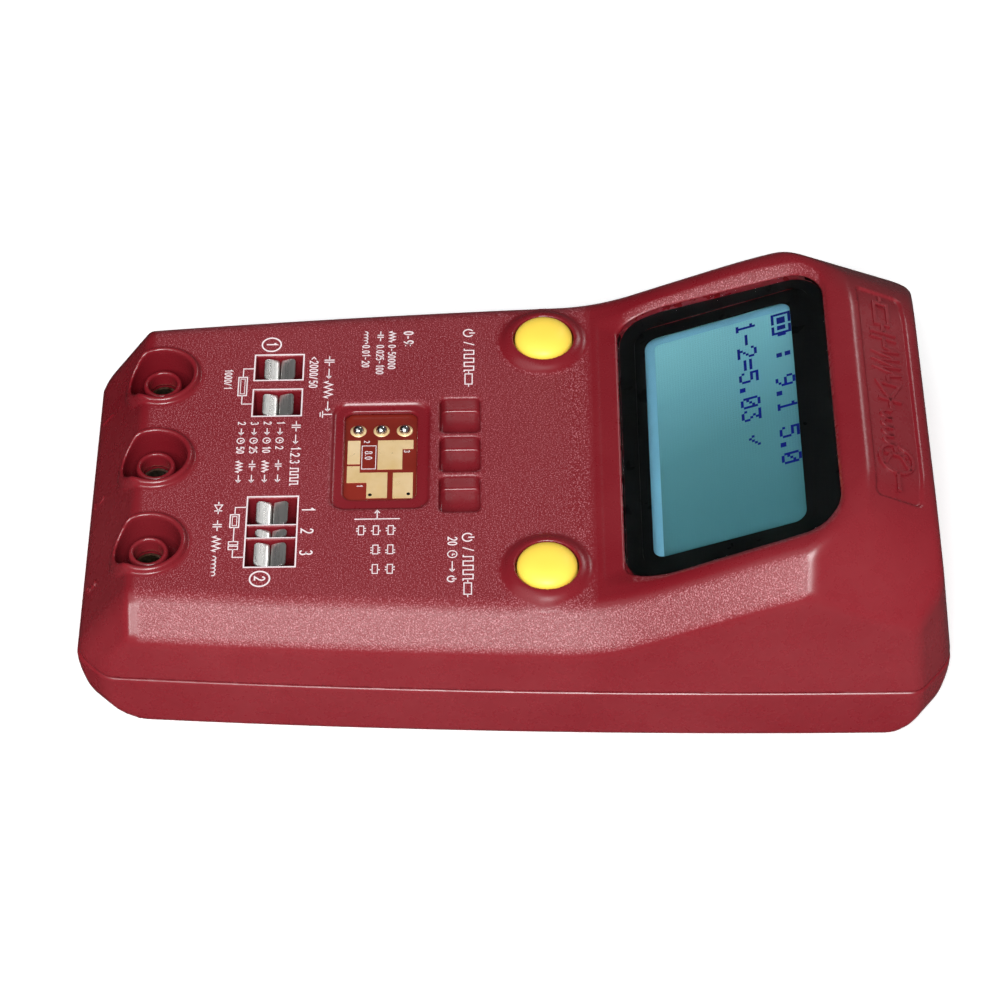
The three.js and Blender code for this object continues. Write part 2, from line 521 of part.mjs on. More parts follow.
// ---------------------------------------------------------------- main board and its components
function mainBoard() {
  const half = BOARD.halfWidth;
  let board = roundedBlock(-half, half, BOARD.startY, BOARD.endY, BOARD.z, boardTop, BOARD.edge);
  const [low, high] = [BOARD.z - PAST, boardTop + PAST];
  for (const [x, y] of BOARD_SCREWS) {
    board = board.subtract(cylinder(x, y, low, high, SCREW.holeRadius, SIDES.screw));
  }
  for (const x of jackXs) {
    const slot = JACK.tagHalfWidth + GAP;
    board = board.subtract(box(x - slot, x + slot, BOARD.startY - PAST, JACK.tagEndY + GAP, low, high));
  }
  add('main_board', board, LOOK.boardGreen());
}

function boardParts() {
  const top = boardTop + GAP;
  const under = BOARD.z - GAP;
  add('microcontroller', box(...CHIP.plan, top, top + CHIP.height), LOOK.black());
  add('crystal', roundedBlock(...CRYSTAL.plan, top, top + CRYSTAL.height, CRYSTAL.corner), LOOK.steel());
  add('voltage_regulator', box(...REGULATOR.plan, top, top + REGULATOR.height), LOOK.black());
  CAPACITOR.xs.forEach((x, i) => {
    const can = cylinder(x, CAPACITOR.y, under - CAPACITOR.height, under, CAPACITOR.radius);
    add(`capacitor_${i + 1}`, can, LOOK.blue());
  });
  const body = new THREE.CapsuleGeometry(RESISTOR.radius, RESISTOR.length, 3, SIDES.screw);
  body.rotateZ(Math.PI / 2).translate(RESISTOR.x, RESISTOR.y, under - RESISTOR.hang);
  add('discharge_resistor', solid(body), LOOK.resistor());
  add('display_header', box(...HEADER.plan, top, top + HEADER.height), LOOK.black());
}

// ---------------------------------------------------------------- battery, snap and leads
function lead(points) {
  const curve = new THREE.CatmullRomCurve3(points.map((p) => new THREE.Vector3(...p)));
  const ring = new THREE.Shape();
  ring.absarc(0, 0, LEAD.radius, 0, Math.PI * 2);
  return solid(new THREE.ExtrudeGeometry(ring, {
    steps: LEAD.steps, bevelEnabled: false, extrudePath: curve, curveSegments: LEAD.sides,
  }));
}

function batteryPieces() {
  const b = BATTERY;
  const x1 = b.x0 + b.length;
  const half = b.width / 2;
  const section = roundedShape(b.y - half, b.y + half, b.z, b.z + b.height, b.corner);
  const body = new THREE.ExtrudeGeometry(section, { depth: b.length, bevelEnabled: false, curveSegments: 2 });
  let cell = solid(body.rotateX(Math.PI / 2).rotateZ(Math.PI / 2).translate(b.x0, 0, 0));
  for (const side of [-1, 1]) {
    const stud = new THREE.CylinderGeometry(b.studRadius, b.studRadius, b.studLength + PAST, SIDES.hole);
    const at = [x1 + (b.studLength - PAST) / 2, b.y + (side * b.studPitch) / 2, b.z + b.height / 2];
    cell = cell.add(solid(stud.rotateZ(Math.PI / 2).translate(...at)));
  }
  add('battery_9v', cell, LOOK.battery());

  const snapX = x1 + b.studLength + GAP;
  const midZ = b.z + b.height / 2;
  const snap = box(snapX, snapX + b.snapThick, b.y - b.snapWidth / 2, b.y + b.snapWidth / 2,
    midZ - b.snapHeight / 2, midZ + b.snapHeight / 2);
  add('battery_snap', snap, LOOK.black());

  const outX = snapX + b.snapThick + LEAD.radius + GAP;
  const startY = b.y - LEAD.offset;
  const boardY = BOARD.endY + LEAD.radius + GAP;
  add('battery_lead_red', lead([
    [outX, startY, 14], [outX + 0.6, startY - 6, 13.4], [outX - 1, startY - 13, 11.6],
    [outX - 5, startY - 18, 10.4], [outX - 9, boardY, 11.6], [outX - 9.6, boardY, 14.6],
  ]), LOOK.red());
  add('battery_lead_black', lead([
    [outX, startY, 9], [outX + 0.6, startY - 7, 8.4], [outX - 2, startY - 14, 7.4],
    [outX - 9, startY - 19, 7.6], [outX - 13, boardY, 10.6], [outX - 13.4, boardY, 14.6],
  ]), LOOK.black());
}

// ---------------------------------------------------------------- fasteners
// A cross-head screw driven from below: headTop is where its head meets what it holds.
function screw(x, y, headTop, length) {
  const headZ = headTop - SCREW.headHeight;
  const shank = cylinder(x, y, headTop, headTop + length, SCREW.shankRadius, SIDES.screw);
  const head = cylinder(x, y, headZ, headTop, SCREW.headRadius, SIDES.boss);
  const [half, reach] = [SCREW.crossWidth / 2, SCREW.crossReach];
  const [z0, z1] = [headZ - PAST, headZ + SCREW.crossDepth];
  return shank.add(head)
    .subtract(box(x - half, x + half, y - reach, y + reach, z0, z1))
    .subtract(box(x - reach, x + reach, y - half, y + half, z0, z1));
}

function fasteners() {
  const caseHeadTop = SCREW.headZ + SCREW.headHeight - GAP;
  CASE_SCREWS.forEach(([x, y], i) => {
    add(`case_screw_${i + 1}`, screw(x, y, caseHeadTop, SCREW.length), LOOK.steel());
  });
  BOARD_SCREWS.forEach(([x, y], i) => {
    add(`board_screw_${i + 1}`, screw(x, y, BOARD.z - GAP, SCREW.boardLength), LOOK.steel());
  });
}

// ---------------------------------------------------------------- the assembly
add('upper_shell', upperShell(), LOOK.shell());
add('lower_shell', lowerShell(), LOOK.shell());
add('battery_door', batteryDoor(), LOOK.door());
displayPieces();
jackXs.forEach((x, i) => add(`jack_sleeve_${i + 1}`, jackSleeve(x), LOOK.brass()));
contacts();
smdBoard();
buttonXs.forEach((x, i) => button(['left', 'right'][i], x));
mainBoard();
boardParts();
batteryPieces();
fasteners();

export default part;
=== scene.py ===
import math

import bmesh
import bpy
import numpy as np
from mathutils import Matrix, Vector


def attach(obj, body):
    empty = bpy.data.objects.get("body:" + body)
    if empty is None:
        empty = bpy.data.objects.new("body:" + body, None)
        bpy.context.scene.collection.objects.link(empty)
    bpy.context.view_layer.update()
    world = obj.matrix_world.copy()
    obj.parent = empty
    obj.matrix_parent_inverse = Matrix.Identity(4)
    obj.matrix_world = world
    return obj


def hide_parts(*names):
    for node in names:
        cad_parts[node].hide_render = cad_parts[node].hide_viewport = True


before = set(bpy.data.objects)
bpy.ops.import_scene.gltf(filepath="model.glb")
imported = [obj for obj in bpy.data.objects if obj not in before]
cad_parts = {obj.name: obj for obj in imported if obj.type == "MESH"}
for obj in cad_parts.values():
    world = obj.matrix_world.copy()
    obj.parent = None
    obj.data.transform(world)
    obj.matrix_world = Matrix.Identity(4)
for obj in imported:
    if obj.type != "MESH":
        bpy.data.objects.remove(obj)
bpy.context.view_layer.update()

# Lengths below are millimetres in the row frame, and become metres when a mesh is made.
MM = 0.001

# ---------------------------------------------------------------- camera first
CAMERA_AT = (398.387, 4.972, 444.980)
CAMERA_RIGHT = (0.00319, 0.99982, -0.01872)
CAMERA_BACK = (0.67835, 0.01159, 0.73465)
CAMERA_LENS = 126.363


def make_camera():
    back = Vector(CAMERA_BACK).normalized()
    right = Vector(CAMERA_RIGHT)
    right = (right - back * right.dot(back)).normalized()
    up = back.cross(right)
    data = bpy.data.cameras.new("camera")
    data.lens = CAMERA_LENS
    data.sensor_width = 36.0
    data.clip_end = 20.0
    camera = bpy.data.objects.new("camera", data)
    bpy.context.scene.collection.objects.link(camera)
    turn = Matrix((right, up, back)).transposed().to_4x4()
    camera.matrix_world = Matrix.Translation(Vector(CAMERA_AT) * MM) @ turn
    bpy.context.scene.camera = camera


make_camera()


# ---------------------------------------------------------------- materials
class Nodes:
    """Short names for building a Principled material's node tree."""

    def __init__(self, name, colour, roughness, metallic=0.0):
        self.material = bpy.data.materials.new(name)
        self.material.use_nodes = True
        self.tree = self.material.node_tree
        self.shader = self.tree.nodes["Principled BSDF"]
        self.set("Base Color", (*colour, 1.0))
        self.set("Roughness", roughness)
        self.set("Metallic", metallic)
        self.material.diffuse_color = (*colour, 1.0)
        self.bump_out = None

    def set(self, socket, value):
        self.shader.inputs[socket].default_value = value

    def new(self, kind, **inputs):
        node = self.tree.nodes.new(kind)
        for name, value in inputs.items():
            socket = node.inputs[name.replace("_", " ")]
            if isinstance(value, bpy.types.NodeSocket):
                self.tree.links.new(value, socket)
            else:
                socket.default_value = value
        return node

    def link(self, source, target):
        self.tree.links.new(source, target)

    def place(self):
        return self.new("ShaderNodeTexCoord").outputs["Object"]

    def noise(self, scale, detail=3.0, rough=0.6):
        node = self.new("ShaderNodeTexNoise", Vector=self.place(), Scale=scale, Detail=detail, Roughness=rough)
        return node.outputs["Fac"]

    def ramp(self, factor, stops):
        node = self.new("ShaderNodeValToRGB", Fac=factor)
        while len(node.color_ramp.elements) > 2:
            node.color_ramp.elements.remove(node.color_ramp.elements[-1])
        for i, (at, colour) in enumerate(stops):
            if i > 1:
                node.color_ramp.elements.new(at)
            node.color_ramp.elements[i].position = at
            node.color_ramp.elements[i].color = (*colour, 1.0)
        return node.outputs["Color"]

    def span(self, factor, low, high, from_low=0.25, from_high=0.75):
        node = self.new("ShaderNodeMapRange", Value=factor)
        node.inputs["From Min"].default_value = from_low
        node.inputs["From Max"].default_value = from_high
        node.inputs["To Min"].default_value = low
        node.inputs["To Max"].default_value = high
        return node.outputs["Result"]

    def math(self, operation, a, b=0.0):
        node = self.tree.nodes.new("ShaderNodeMath")
        node.operation = operation
        for socket, value in zip(node.inputs, (a, b)):
            if isinstance(value, bpy.types.NodeSocket):
                self.tree.links.new(value, socket)
            else:
                socket.default_value = value
        return node.outputs["Value"]

    def bump(self, height, distance, strength=1.0):
        node = self.new("ShaderNodeBump", Height=height)
        node.inputs["Distance"].default_value = distance
        if isinstance(strength, bpy.types.NodeSocket):
            self.link(strength, node.inputs["Strength"])
        else:
            node.inputs["Strength"].default_value = strength
        if self.bump_out is not None:
            self.link(self.bump_out, node.inputs["Normal"])
        self.bump_out = node.outputs["Normal"]
        self.link(self.bump_out, self.shader.inputs["Normal"])

    def colour(self, socket):
        self.link(socket, self.shader.inputs["Base Color"])

    def roughness(self, socket):
        self.link(socket, self.shader.inputs["Roughness"])


def mixed(a, b, t):
    return tuple(x + (y - x) * t for x, y in zip(a, b))


def plastic(name, colour, roughness, grain=900.0, depth=0.00002, variation=0.12, coat=0.0, shine=0.5):
    """Moulded plastic: faint mottling, uneven gloss and a fine mould grain."""
    n = Nodes(name, colour, roughness)
    dark = mixed(colour, (0, 0, 0), variation)
    light = tuple(min(1.0, c * (1 + variation)) for c in colour)
    n.colour(n.ramp(n.noise(45.0, 4.0), [(0.3, dark), (0.7, light)]))
    n.roughness(n.span(n.noise(300.0, 2.0), roughness * 0.85, min(1.0, roughness * 1.2)))
    n.bump(n.noise(grain, 2.0), depth, 0.5)
    n.set("Specular IOR Level", shine)
    if coat:
        n.set("Coat Weight", coat)
        n.set("Coat Roughness", 0.08)
    return n.material


def metal(name, colour, roughness, brush=(60.0, 2200.0, 2200.0), depth=0.000006, metallic=1.0):
    """Metal with fine directional marks and patchy polish."""
    n = Nodes(name, colour, roughness, metallic)
    scaled = n.new("ShaderNodeMapping", Vector=n.place())
    scaled.inputs["Scale"].default_value = brush
    lines = n.new("ShaderNodeTexNoise", Vector=scaled.outputs["Vector"], Scale=1.0, Detail=3.0)
    n.colour(n.ramp(n.noise(160.0), [(0.3, mixed(colour, (0, 0, 0), 0.15)), (0.75, mixed(colour, (1, 1, 1), 0.2))]))
    n.roughness(n.span(lines.outputs["Fac"], roughness * 0.7, min(1.0, roughness * 1.5)))
    n.bump(lines.outputs["Fac"], depth, 0.6)
    return n.material


def case_plastic(name, colour):
    """Crimson ABS. A point attribute is 1 on the stippled face and bevels and 0 on the satin parts. Where it is 1, the
    grain is rougher and pale flecks of painted glints are mixed into the colour.
    """
    n = Nodes(name, colour, 0.38)
    mask = n.new("ShaderNodeAttribute")
    mask.attribute_name = "stipple_and_glints"
    on = mask.outputs["Fac"]
    coarse = n.noise(3600.0, 2.0, 0.6)
    tone = n.ramp(n.noise(28.0, 4.0), [(0.3, mixed(colour, (0, 0, 0), 0.08)), (0.7, mixed(colour, (1, 0.5, 0.5), 0.02))])
    # Painted glints: pale pink flecks mixed into the colour where the mask is 1, standing in for light glinting off
    # the grain.
    painted_glints = n.new("ShaderNodeMix")
    painted_glints.data_type = "RGBA"
    n.link(n.math("MULTIPLY", n.span(n.noise(4600.0, 1.0), 0.0, 0.55, 0.54, 0.66), on), painted_glints.inputs[0])
    n.link(tone, painted_glints.inputs[6])
    painted_glints.inputs[7].default_value = (0.62, 0.24, 0.27, 1.0)
    n.colour(painted_glints.outputs[2])
    n.bump(coarse, 0.00012, n.span(on, 0.0, 0.8, 0.0, 1.0))
    n.bump(n.noise(1500.0, 2.0), 0.000006, 0.3)
    n.bump(n.noise(16.0, 2.0), 0.0006, 0.05)
    satin = n.span(n.noise(420.0, 3.0), 0.24, 0.32)
    rough = n.span(coarse, 0.34, 0.50)
    mix = n.new("ShaderNodeMix")
    n.link(on, mix.inputs[0])
    n.link(satin, mix.inputs[2])
    n.link(rough, mix.inputs[3])
    n.roughness(mix.outputs[0])
    n.set("Specular IOR Level", 0.5)
    return n.material


CRIMSON = (0.188, 0.0070, 0.0135)
LOOKS = {
    "case": case_plastic("case_plastic", CRIMSON),
    "yellow": plastic("button_yellow", (1.0, 0.70, 0.085), 0.42, 500.0, 0.000006, 0.03, 0.0, 0.35),
    "white_ink": plastic("white_ink", (0.80, 0.70, 0.72), 0.55, 2600.0, 0.00001, 0.10),
    "black_ink": plastic("black_print", (0.0045, 0.0055, 0.0055), 0.3, 800.0, 0.000004, 0.2, 0.0, 0.08),
    "black": plastic("black_plastic", (0.012, 0.012, 0.014), 0.45),
    "board_green": plastic("board_green", (0.012, 0.075, 0.032), 0.35, 1400.0, 0.00001, 0.3, 0.4),
    "board_red": plastic("board_red", (0.20, 0.017, 0.010), 0.33, 1500.0, 0.00002, 0.25, 0.25),
    "diffuser": plastic("backlight_block", (0.55, 0.80, 0.86), 0.5),
    "sleeve_blue": plastic("capacitor_sleeve", (0.012, 0.03, 0.16), 0.3),
    "lacquer": plastic("resistor_lacquer", (0.22, 0.36, 0.44), 0.5),
    "red_wire": plastic("red_insulation", (0.42, 0.012, 0.014), 0.45),
    "black_wire": plastic("black_insulation", (0.012, 0.012, 0.012), 0.5),
    "jacket": plastic("battery_jacket", (0.03, 0.034, 0.042), 0.3, 600.0, 0.000008, 0.3, 0.5),
    "nickel": metal("contact_nickel", (0.80, 0.79, 0.76), 0.27, metallic=0.9),
    "steel": metal("zinc_steel", (0.52, 0.53, 0.55), 0.34),
    # Painted shade: the jack sleeves' metal keeps its yellow hue but is darkened to stand for the shade down in their
    # bores.
    "brass_with_painted_shade": metal("jack_brass", (0.20, 0.12, 0.05), 0.40),
    "gold": metal("gold_pad", (0.98, 0.68, 0.30), 0.34, (900.0, 900.0, 900.0), 0.00001, 0.35),
    "solder": metal("solder", (0.72, 0.72, 0.72), 0.18, (500.0, 500.0, 500.0), 0.00002),
    "lcd_margin": plastic("lcd_margin", (0.16, 0.40, 0.55), 0.5, 2000.0, 0.000002, 0.1, 0.0, 0.1),
    "lcd_ink": plastic("lcd_segments", (0.006, 0.012, 0.17), 0.5, 2000.0, 0.000002, 0.1, 0.0, 0.05),
}

NODE_LOOKS = {
    "battery_door": "case", "jack_sleeve_1": "brass_with_painted_shade", "jack_sleeve_2": "brass_with_painted_shade", "jack_sleeve_3": "brass_with_painted_shade",
    "smd_test_board": "board_red", "main_board": "board_green", "lcd_board": "board_green",
    "lcd_frame": "steel", "lcd_backlight": "diffuser", "switch_body_left": "black", "switch_body_right": "black",
    "switch_plunger_left": "black", "switch_plunger_right": "black", "microcontroller": "black",
    "crystal": "steel", "voltage_regulator": "black", "capacitor_1": "sleeve_blue", "capacitor_2": "sleeve_blue",
    "discharge_resistor": "lacquer", "display_header": "black", "battery_9v": "jacket", "battery_snap": "black",
    **{f"case_screw_{i}": "steel" for i in (1, 2, 3, 4)},
    **{f"board_screw_{i}": "steel" for i in (1, 2, 3, 4)},
}
for node_name, look in NODE_LOOKS.items():
    for material_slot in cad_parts[node_name].material_slots:
        material_slot.material = LOOKS[look]


# ---------------------------------------------------------------- mesh helpers
def make_object(name, points_mm, faces, look, body="case", smooth=True, slot=None, stands_for=()):
    mesh = bpy.data.meshes.new(name)
    if isinstance(faces, np.ndarray):
        mesh.vertices.add(len(points_mm))
        mesh.vertices.foreach_set("co", (np.asarray(points_mm, dtype=np.float32) * MM).ravel())
        mesh.loops.add(faces.size)
        mesh.loops.foreach_set("vertex_index", faces.ravel().astype(np.int32))
        mesh.polygons.add(len(faces))
        mesh.polygons.foreach_set("loop_start", np.arange(0, faces.size, faces.shape[1], dtype=np.int32))
        mesh.update(calc_edges=True)
        mesh.validate()
    else:
        mesh.from_pydata([tuple(c * MM for c in p) for p in points_mm], [], faces)
        mesh.validate()
    if smooth:
        mesh.polygons.foreach_set("use_smooth", [True] * len(mesh.polygons))
    mesh.materials.append(look if isinstance(look, bpy.types.Material) else LOOKS[look])
    obj = bpy.data.objects.new(name, mesh)
    bpy.context.scene.collection.objects.link(obj)
    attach(obj, body)
    if stands_for:
        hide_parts(*stands_for)
    return obj


def bevelled(obj, width_mm, segments=3):
    modifier = obj.modifiers.new("edge", "BEVEL")
    modifier.width = width_mm * MM
    modifier.segments = segments
    modifier.limit_method = "ANGLE"
    modifier.angle_limit = math.radians(40)
    modifier.harden_normals = True
    return obj


def lathe(name, profile, x, y, look, sides=56, **options):
    """A turned piece about the vertical line at x, y. The profile runs [radius, z] from axis to axis."""
    points, faces, rows = [], [], []
    for radius, z in profile:
        if radius < 1e-6:
            rows.append([len(points)])
            points.append((x, y, z))
        else:
            rows.append(list(range(len(points), len(points) + sides)))
            points.extend((x + radius * math.cos(2 * math.pi * i / sides),
                           y + radius * math.sin(2 * math.pi * i / sides), z) for i in range(sides))
    for low, high in zip(rows, rows[1:]):
        for i in range(sides):
            j = (i + 1) % sides
            ring = [low[i % len(low)], low[j % len(low)], high[j % len(high)], high[i % len(high)]]
            face = list(dict.fromkeys(ring))
            if len(face) > 2:
                faces.append(face)
    return make_object(name, points, faces, look, **options)


def prism(name, outline, z0, z1, look, place=None, **options):
    """A flat plate from a convex or simple outline [(x, y)], between two heights. place maps each point."""
    n = len(outline)
    points = [(x, y, z0) for x, y in outline] + [(x, y, z1) for x, y in outline]
    faces = [list(range(n))[::-1], list(range(n, 2 * n))]
    faces += [[i, (i + 1) % n, n + (i + 1) % n, n + i] for i in range(n)]
    if place:
        points = [place(*p) for p in points]
    options.setdefault("smooth", False)
    return make_object(name, points, faces, look, **options)


def rounded_outline(x0, x1, y0, y1, radius, steps=6):
    corners = [(x1 - radius, y0 + radius, -90), (x1 - radius, y1 - radius, 0),
               (x0 + radius, y1 - radius, 90), (x0 + radius, y0 + radius, 180)]
    return [(cx + radius * math.cos(math.radians(a + 90 * i / steps)),
             cy + radius * math.sin(math.radians(a + 90 * i / steps)))
            for cx, cy, a in corners for i in range(steps + 1)]


# ---------------------------------------------------------------- implicit surfaces
def smin(a, b, k):
    h = np.maximum(k - np.abs(a - b), 0) / k
    return np.minimum(a, b) - h * h * k * 0.25


def smax(a, b, k):
    h = np.maximum(k - np.abs(a - b), 0) / k
    return np.maximum(a, b) + h * h * k * 0.25


def rmax(a, b, radius):
    """Both a and b below zero, with a true round of that radius where they meet."""
    u, v = np.maximum(a + radius, 0), np.maximum(b + radius, 0)
    return np.minimum(np.maximum(a, b) + radius, 0) + np.sqrt(u * u + v * v) - radius


def surface(field, low, high, step):
    """Surface nets over a box, with each vertex then moved onto the field's zero. Returns points and quads."""
    axes = [np.arange(a, b + step, step, dtype=np.float32) for a, b in zip(low, high)]
    x, y, z = axes[0][:, None, None], axes[1][None, :, None], axes[2][None, None, :]
    values = np.ascontiguousarray(np.broadcast_to(field(x, y, z), tuple(map(len, axes))), dtype=np.float32)
    inside = values < 0
    shape = tuple(n - 1 for n in values.shape)
    corners = [(i, j, k) for i in (0, 1) for j in (0, 1) for k in (0, 1)]
    count = np.zeros(shape, dtype=np.uint8)
    for i, j, k in corners:
        count += inside[i:i + shape[0], j:j + shape[1], k:k + shape[2]]
    cells = np.argwhere((count > 0) & (count < 8))
    del count
    number = np.full(shape, -1, dtype=np.int32)
    number[tuple(cells.T)] = np.arange(len(cells), dtype=np.int32)
    at = {c: values[tuple((cells + c).T)] for c in corners}
    total, hits = np.zeros((len(cells), 3)), np.zeros(len(cells))
    for a in corners:
        for axis in range(3):
            if a[axis]:
                continue
            b = tuple(1 if n == axis else a[n] for n in range(3))
            cross = (at[a] < 0) != (at[b] < 0)
            with np.errstate(divide="ignore", invalid="ignore"):
                t = np.where(cross, at[a] / (at[a] - at[b]), 0)
            for n in range(3):
                total[:, n] += np.where(cross, a[n] + (t if n == axis else 0), 0)
            hits += cross
    points = np.array(low) + (cells + total / hits[:, None]) * step
    quads = []
    for axis in range(3):
        other = [n for n in range(3) if n != axis]
        lower = tuple(slice(0, -1) if n == axis else slice(1, -1) for n in range(3))
        upper = tuple(slice(1, None) if n == axis else slice(1, -1) for n in range(3))
        change = inside[lower] != inside[upper]
        spots = np.argwhere(change)
        solid_below = inside[lower][change]
        base = spots.copy()
        base[:, other] += 1
        ring = []
        for du, dv in ((1, 1), (0, 1), (0, 0), (1, 0)):
            cell = base.copy()
            cell[:, other[0]] -= du
            cell[:, other[1]] -= dv
            ring.append(number[tuple(cell.T)])
        ring = np.stack(ring, axis=1)
        flip = solid_below if axis == 1 else ~solid_below
        ring[flip] = ring[flip][:, ::-1]
        quads.append(ring)
    quads = np.concatenate(quads)
    eps = 0.02
    for _ in range(3):
        here = field(*points.T)
        slope = np.stack([(field(*(points + d).T) - field(*(points - d).T)) / (2 * eps)
                          for d in np.eye(3) * eps], axis=1)
        steepness = np.maximum((slope ** 2).sum(axis=1), 0.05)
        move = -here[:, None] * slope / steepness[:, None]
        length = np.linalg.norm(move, axis=1)
        points += move * np.minimum(1, 0.45 * step / np.maximum(length, 1e-9))[:, None]
    return points, quads


# ---------------------------------------------------------------- the case's shape
SEAM = 11.3
WALL = 2.2


def half_width(y):
    return 41.25 - 3.15e-4 * (y - 66.75) ** 2


def top_height(y):
    face = 25.0 + 0 * y
    incline = 25.0 + 0.42 * (y - 14.8)
    crest = 40.5 + 0.262 * (y - 56.45)
    tilted = smin(incline, crest, 1.2)
    line = smax(face, tilted, 2.7)
    line = smin(line, 25.0 + 1.407 * (y + 61.5), 1.1)
    return smin(line, 40.5 - 0.4327 * (y - 56.45), 0.45)


def top_slope(y):
    return (top_height(y + 0.1) - top_height(y - 0.1)) / 0.2


def bevel_field(x, y, z):
    line, slope = top_height(y), top_slope(y)
    edge = half_width(y) - 0.0787 * (line - 16.7) - 5.6
    return ((np.abs(x) - edge) * 0.694 + (z - line) * 0.720) / np.sqrt(1 + 0.52 * slope ** 2)


def upper_body(x, y, z):
    """The outside of the upper half, without its openings."""
    wide = np.abs(x)
    top = (z - top_height(y)) / np.sqrt(1 + top_slope(y) ** 2)
    crown = smax(top, bevel_field(x, y, z), 1.3)
    crown = smax(crown, 0.690 * wide + 0.264 * y + 0.6746 * z - 61.3, 0.9)
    crown = smax(crown, 0.403 * wide + 0.416 * y + 0.8154 * z - 66.2, 2.4)
    side = (wide - half_width(y) + 0.0787 * (z - SEAM)) * 0.997
    socket_corner = (wide - y) * 0.7071 - 71.7 + 0.08 * (z - SEAM)
    display_corner = 0.618 * wide + 0.786 * y - 76.7 + 0.118 * (z - SEAM)
    display_wall = (y - 70.68 + 0.1258 * (z - SEAM)) * 0.992
    socket_wall = -y - 70.68 + 0.1 * (z - SEAM)
    walls = smax(smax(side, display_corner, 1.4), smax(socket_corner, socket_wall, 1.4), 1.4)
    walls = smax(walls, display_wall, 1.6)
    return smax(crown, walls, 1.1)


def lower_body(x, y, z):
    """The outside of the lower half."""
    wide = np.abs(x)
    drop = SEAM - z
    side = wide - half_width(y) + 0.026 * drop
    ends = np.maximum(-y - 70.68, y - 70.68)
    socket_corner = (wide - y) * 0.7071 - 71.7
    display_corner = 0.618 * wide + 0.786 * y - 76.7
    rolled = rmax(ends, -z, 10.5)
    sides = rmax(side, -z, 1.6)
    corners = np.maximum(rmax(socket_corner, -z, 7.0), rmax(display_corner, -z, 7.0))
    blend = 0.04 + 1.16 * np.clip((z - 2.6) / 4.0, 0, 1)
    return smax(smax(sides, rolled, blend), corners, blend)


def box2(x, y, cx, cy, half_x, half_y, radius):
    return rmax(np.abs(x - cx) - half_x, np.abs(y - cy) - half_y, radius)


JACKS = (-19.0, 0.0, 19.0)
JACK_Y = -58.65
BUTTONS = (("left", -25.8), ("right", 25.8))
BUTTON_Y = 5.85
WELLS = {"1a": (-20.63, 5.7), "1b": (-12.35, 5.8), "2a": (12.2, 5.75), "2b": (16.75, 2.5), "2c": (21.3, 5.75)}
PORT_Y = -38.77
POCKETS = (-8.92, 0.0, 8.92)
POCKET_Y = -8.25
CASE_SCREWS = ((-29.3, -57.5), (29.3, -57.5), (-34.4, 50.0), (34.4, 50.0))
BOARD_SCREWS = ((-27.3, -44.0), (27.3, -44.0), (-27.5, 15.0), (27.5, 15.0))

TILT = 0.3588
TILT_Y = 15.95


def window_axes(y, z):
    """Coordinates on the display window: s up its slope, n out of its face."""
    dy, dz = y - TILT_Y, z - 25.0
    return dy * math.cos(TILT) + dz * math.sin(TILT), dz * math.cos(TILT) - dy * math.sin(TILT)


def window_point(x, s, n):
    return (x, TILT_Y + s * math.cos(TILT) - n * math.sin(TILT), 25.0 + s * math.sin(TILT) + n * math.cos(TILT))


def window_half(s):
    return 30.4 - (s - 2.5) * (1.7 / 36.2)


def window_recess(x, y, z):
    s, n = window_axes(y, z)
    rise = np.maximum(n, 0)
    across = (np.abs(x) - window_half(s) - 0.1 - 1.33 * rise) / 1.66
    lower = np.maximum((2.4 - s - 3.6 * rise) / 3.74, 15.1 - y)
    upper = (s - 38.8 - 1.33 * rise) / 1.66
    return np.maximum(rmax(rmax(across, upper, 4.0), lower, 2.6), -n - 1.6)


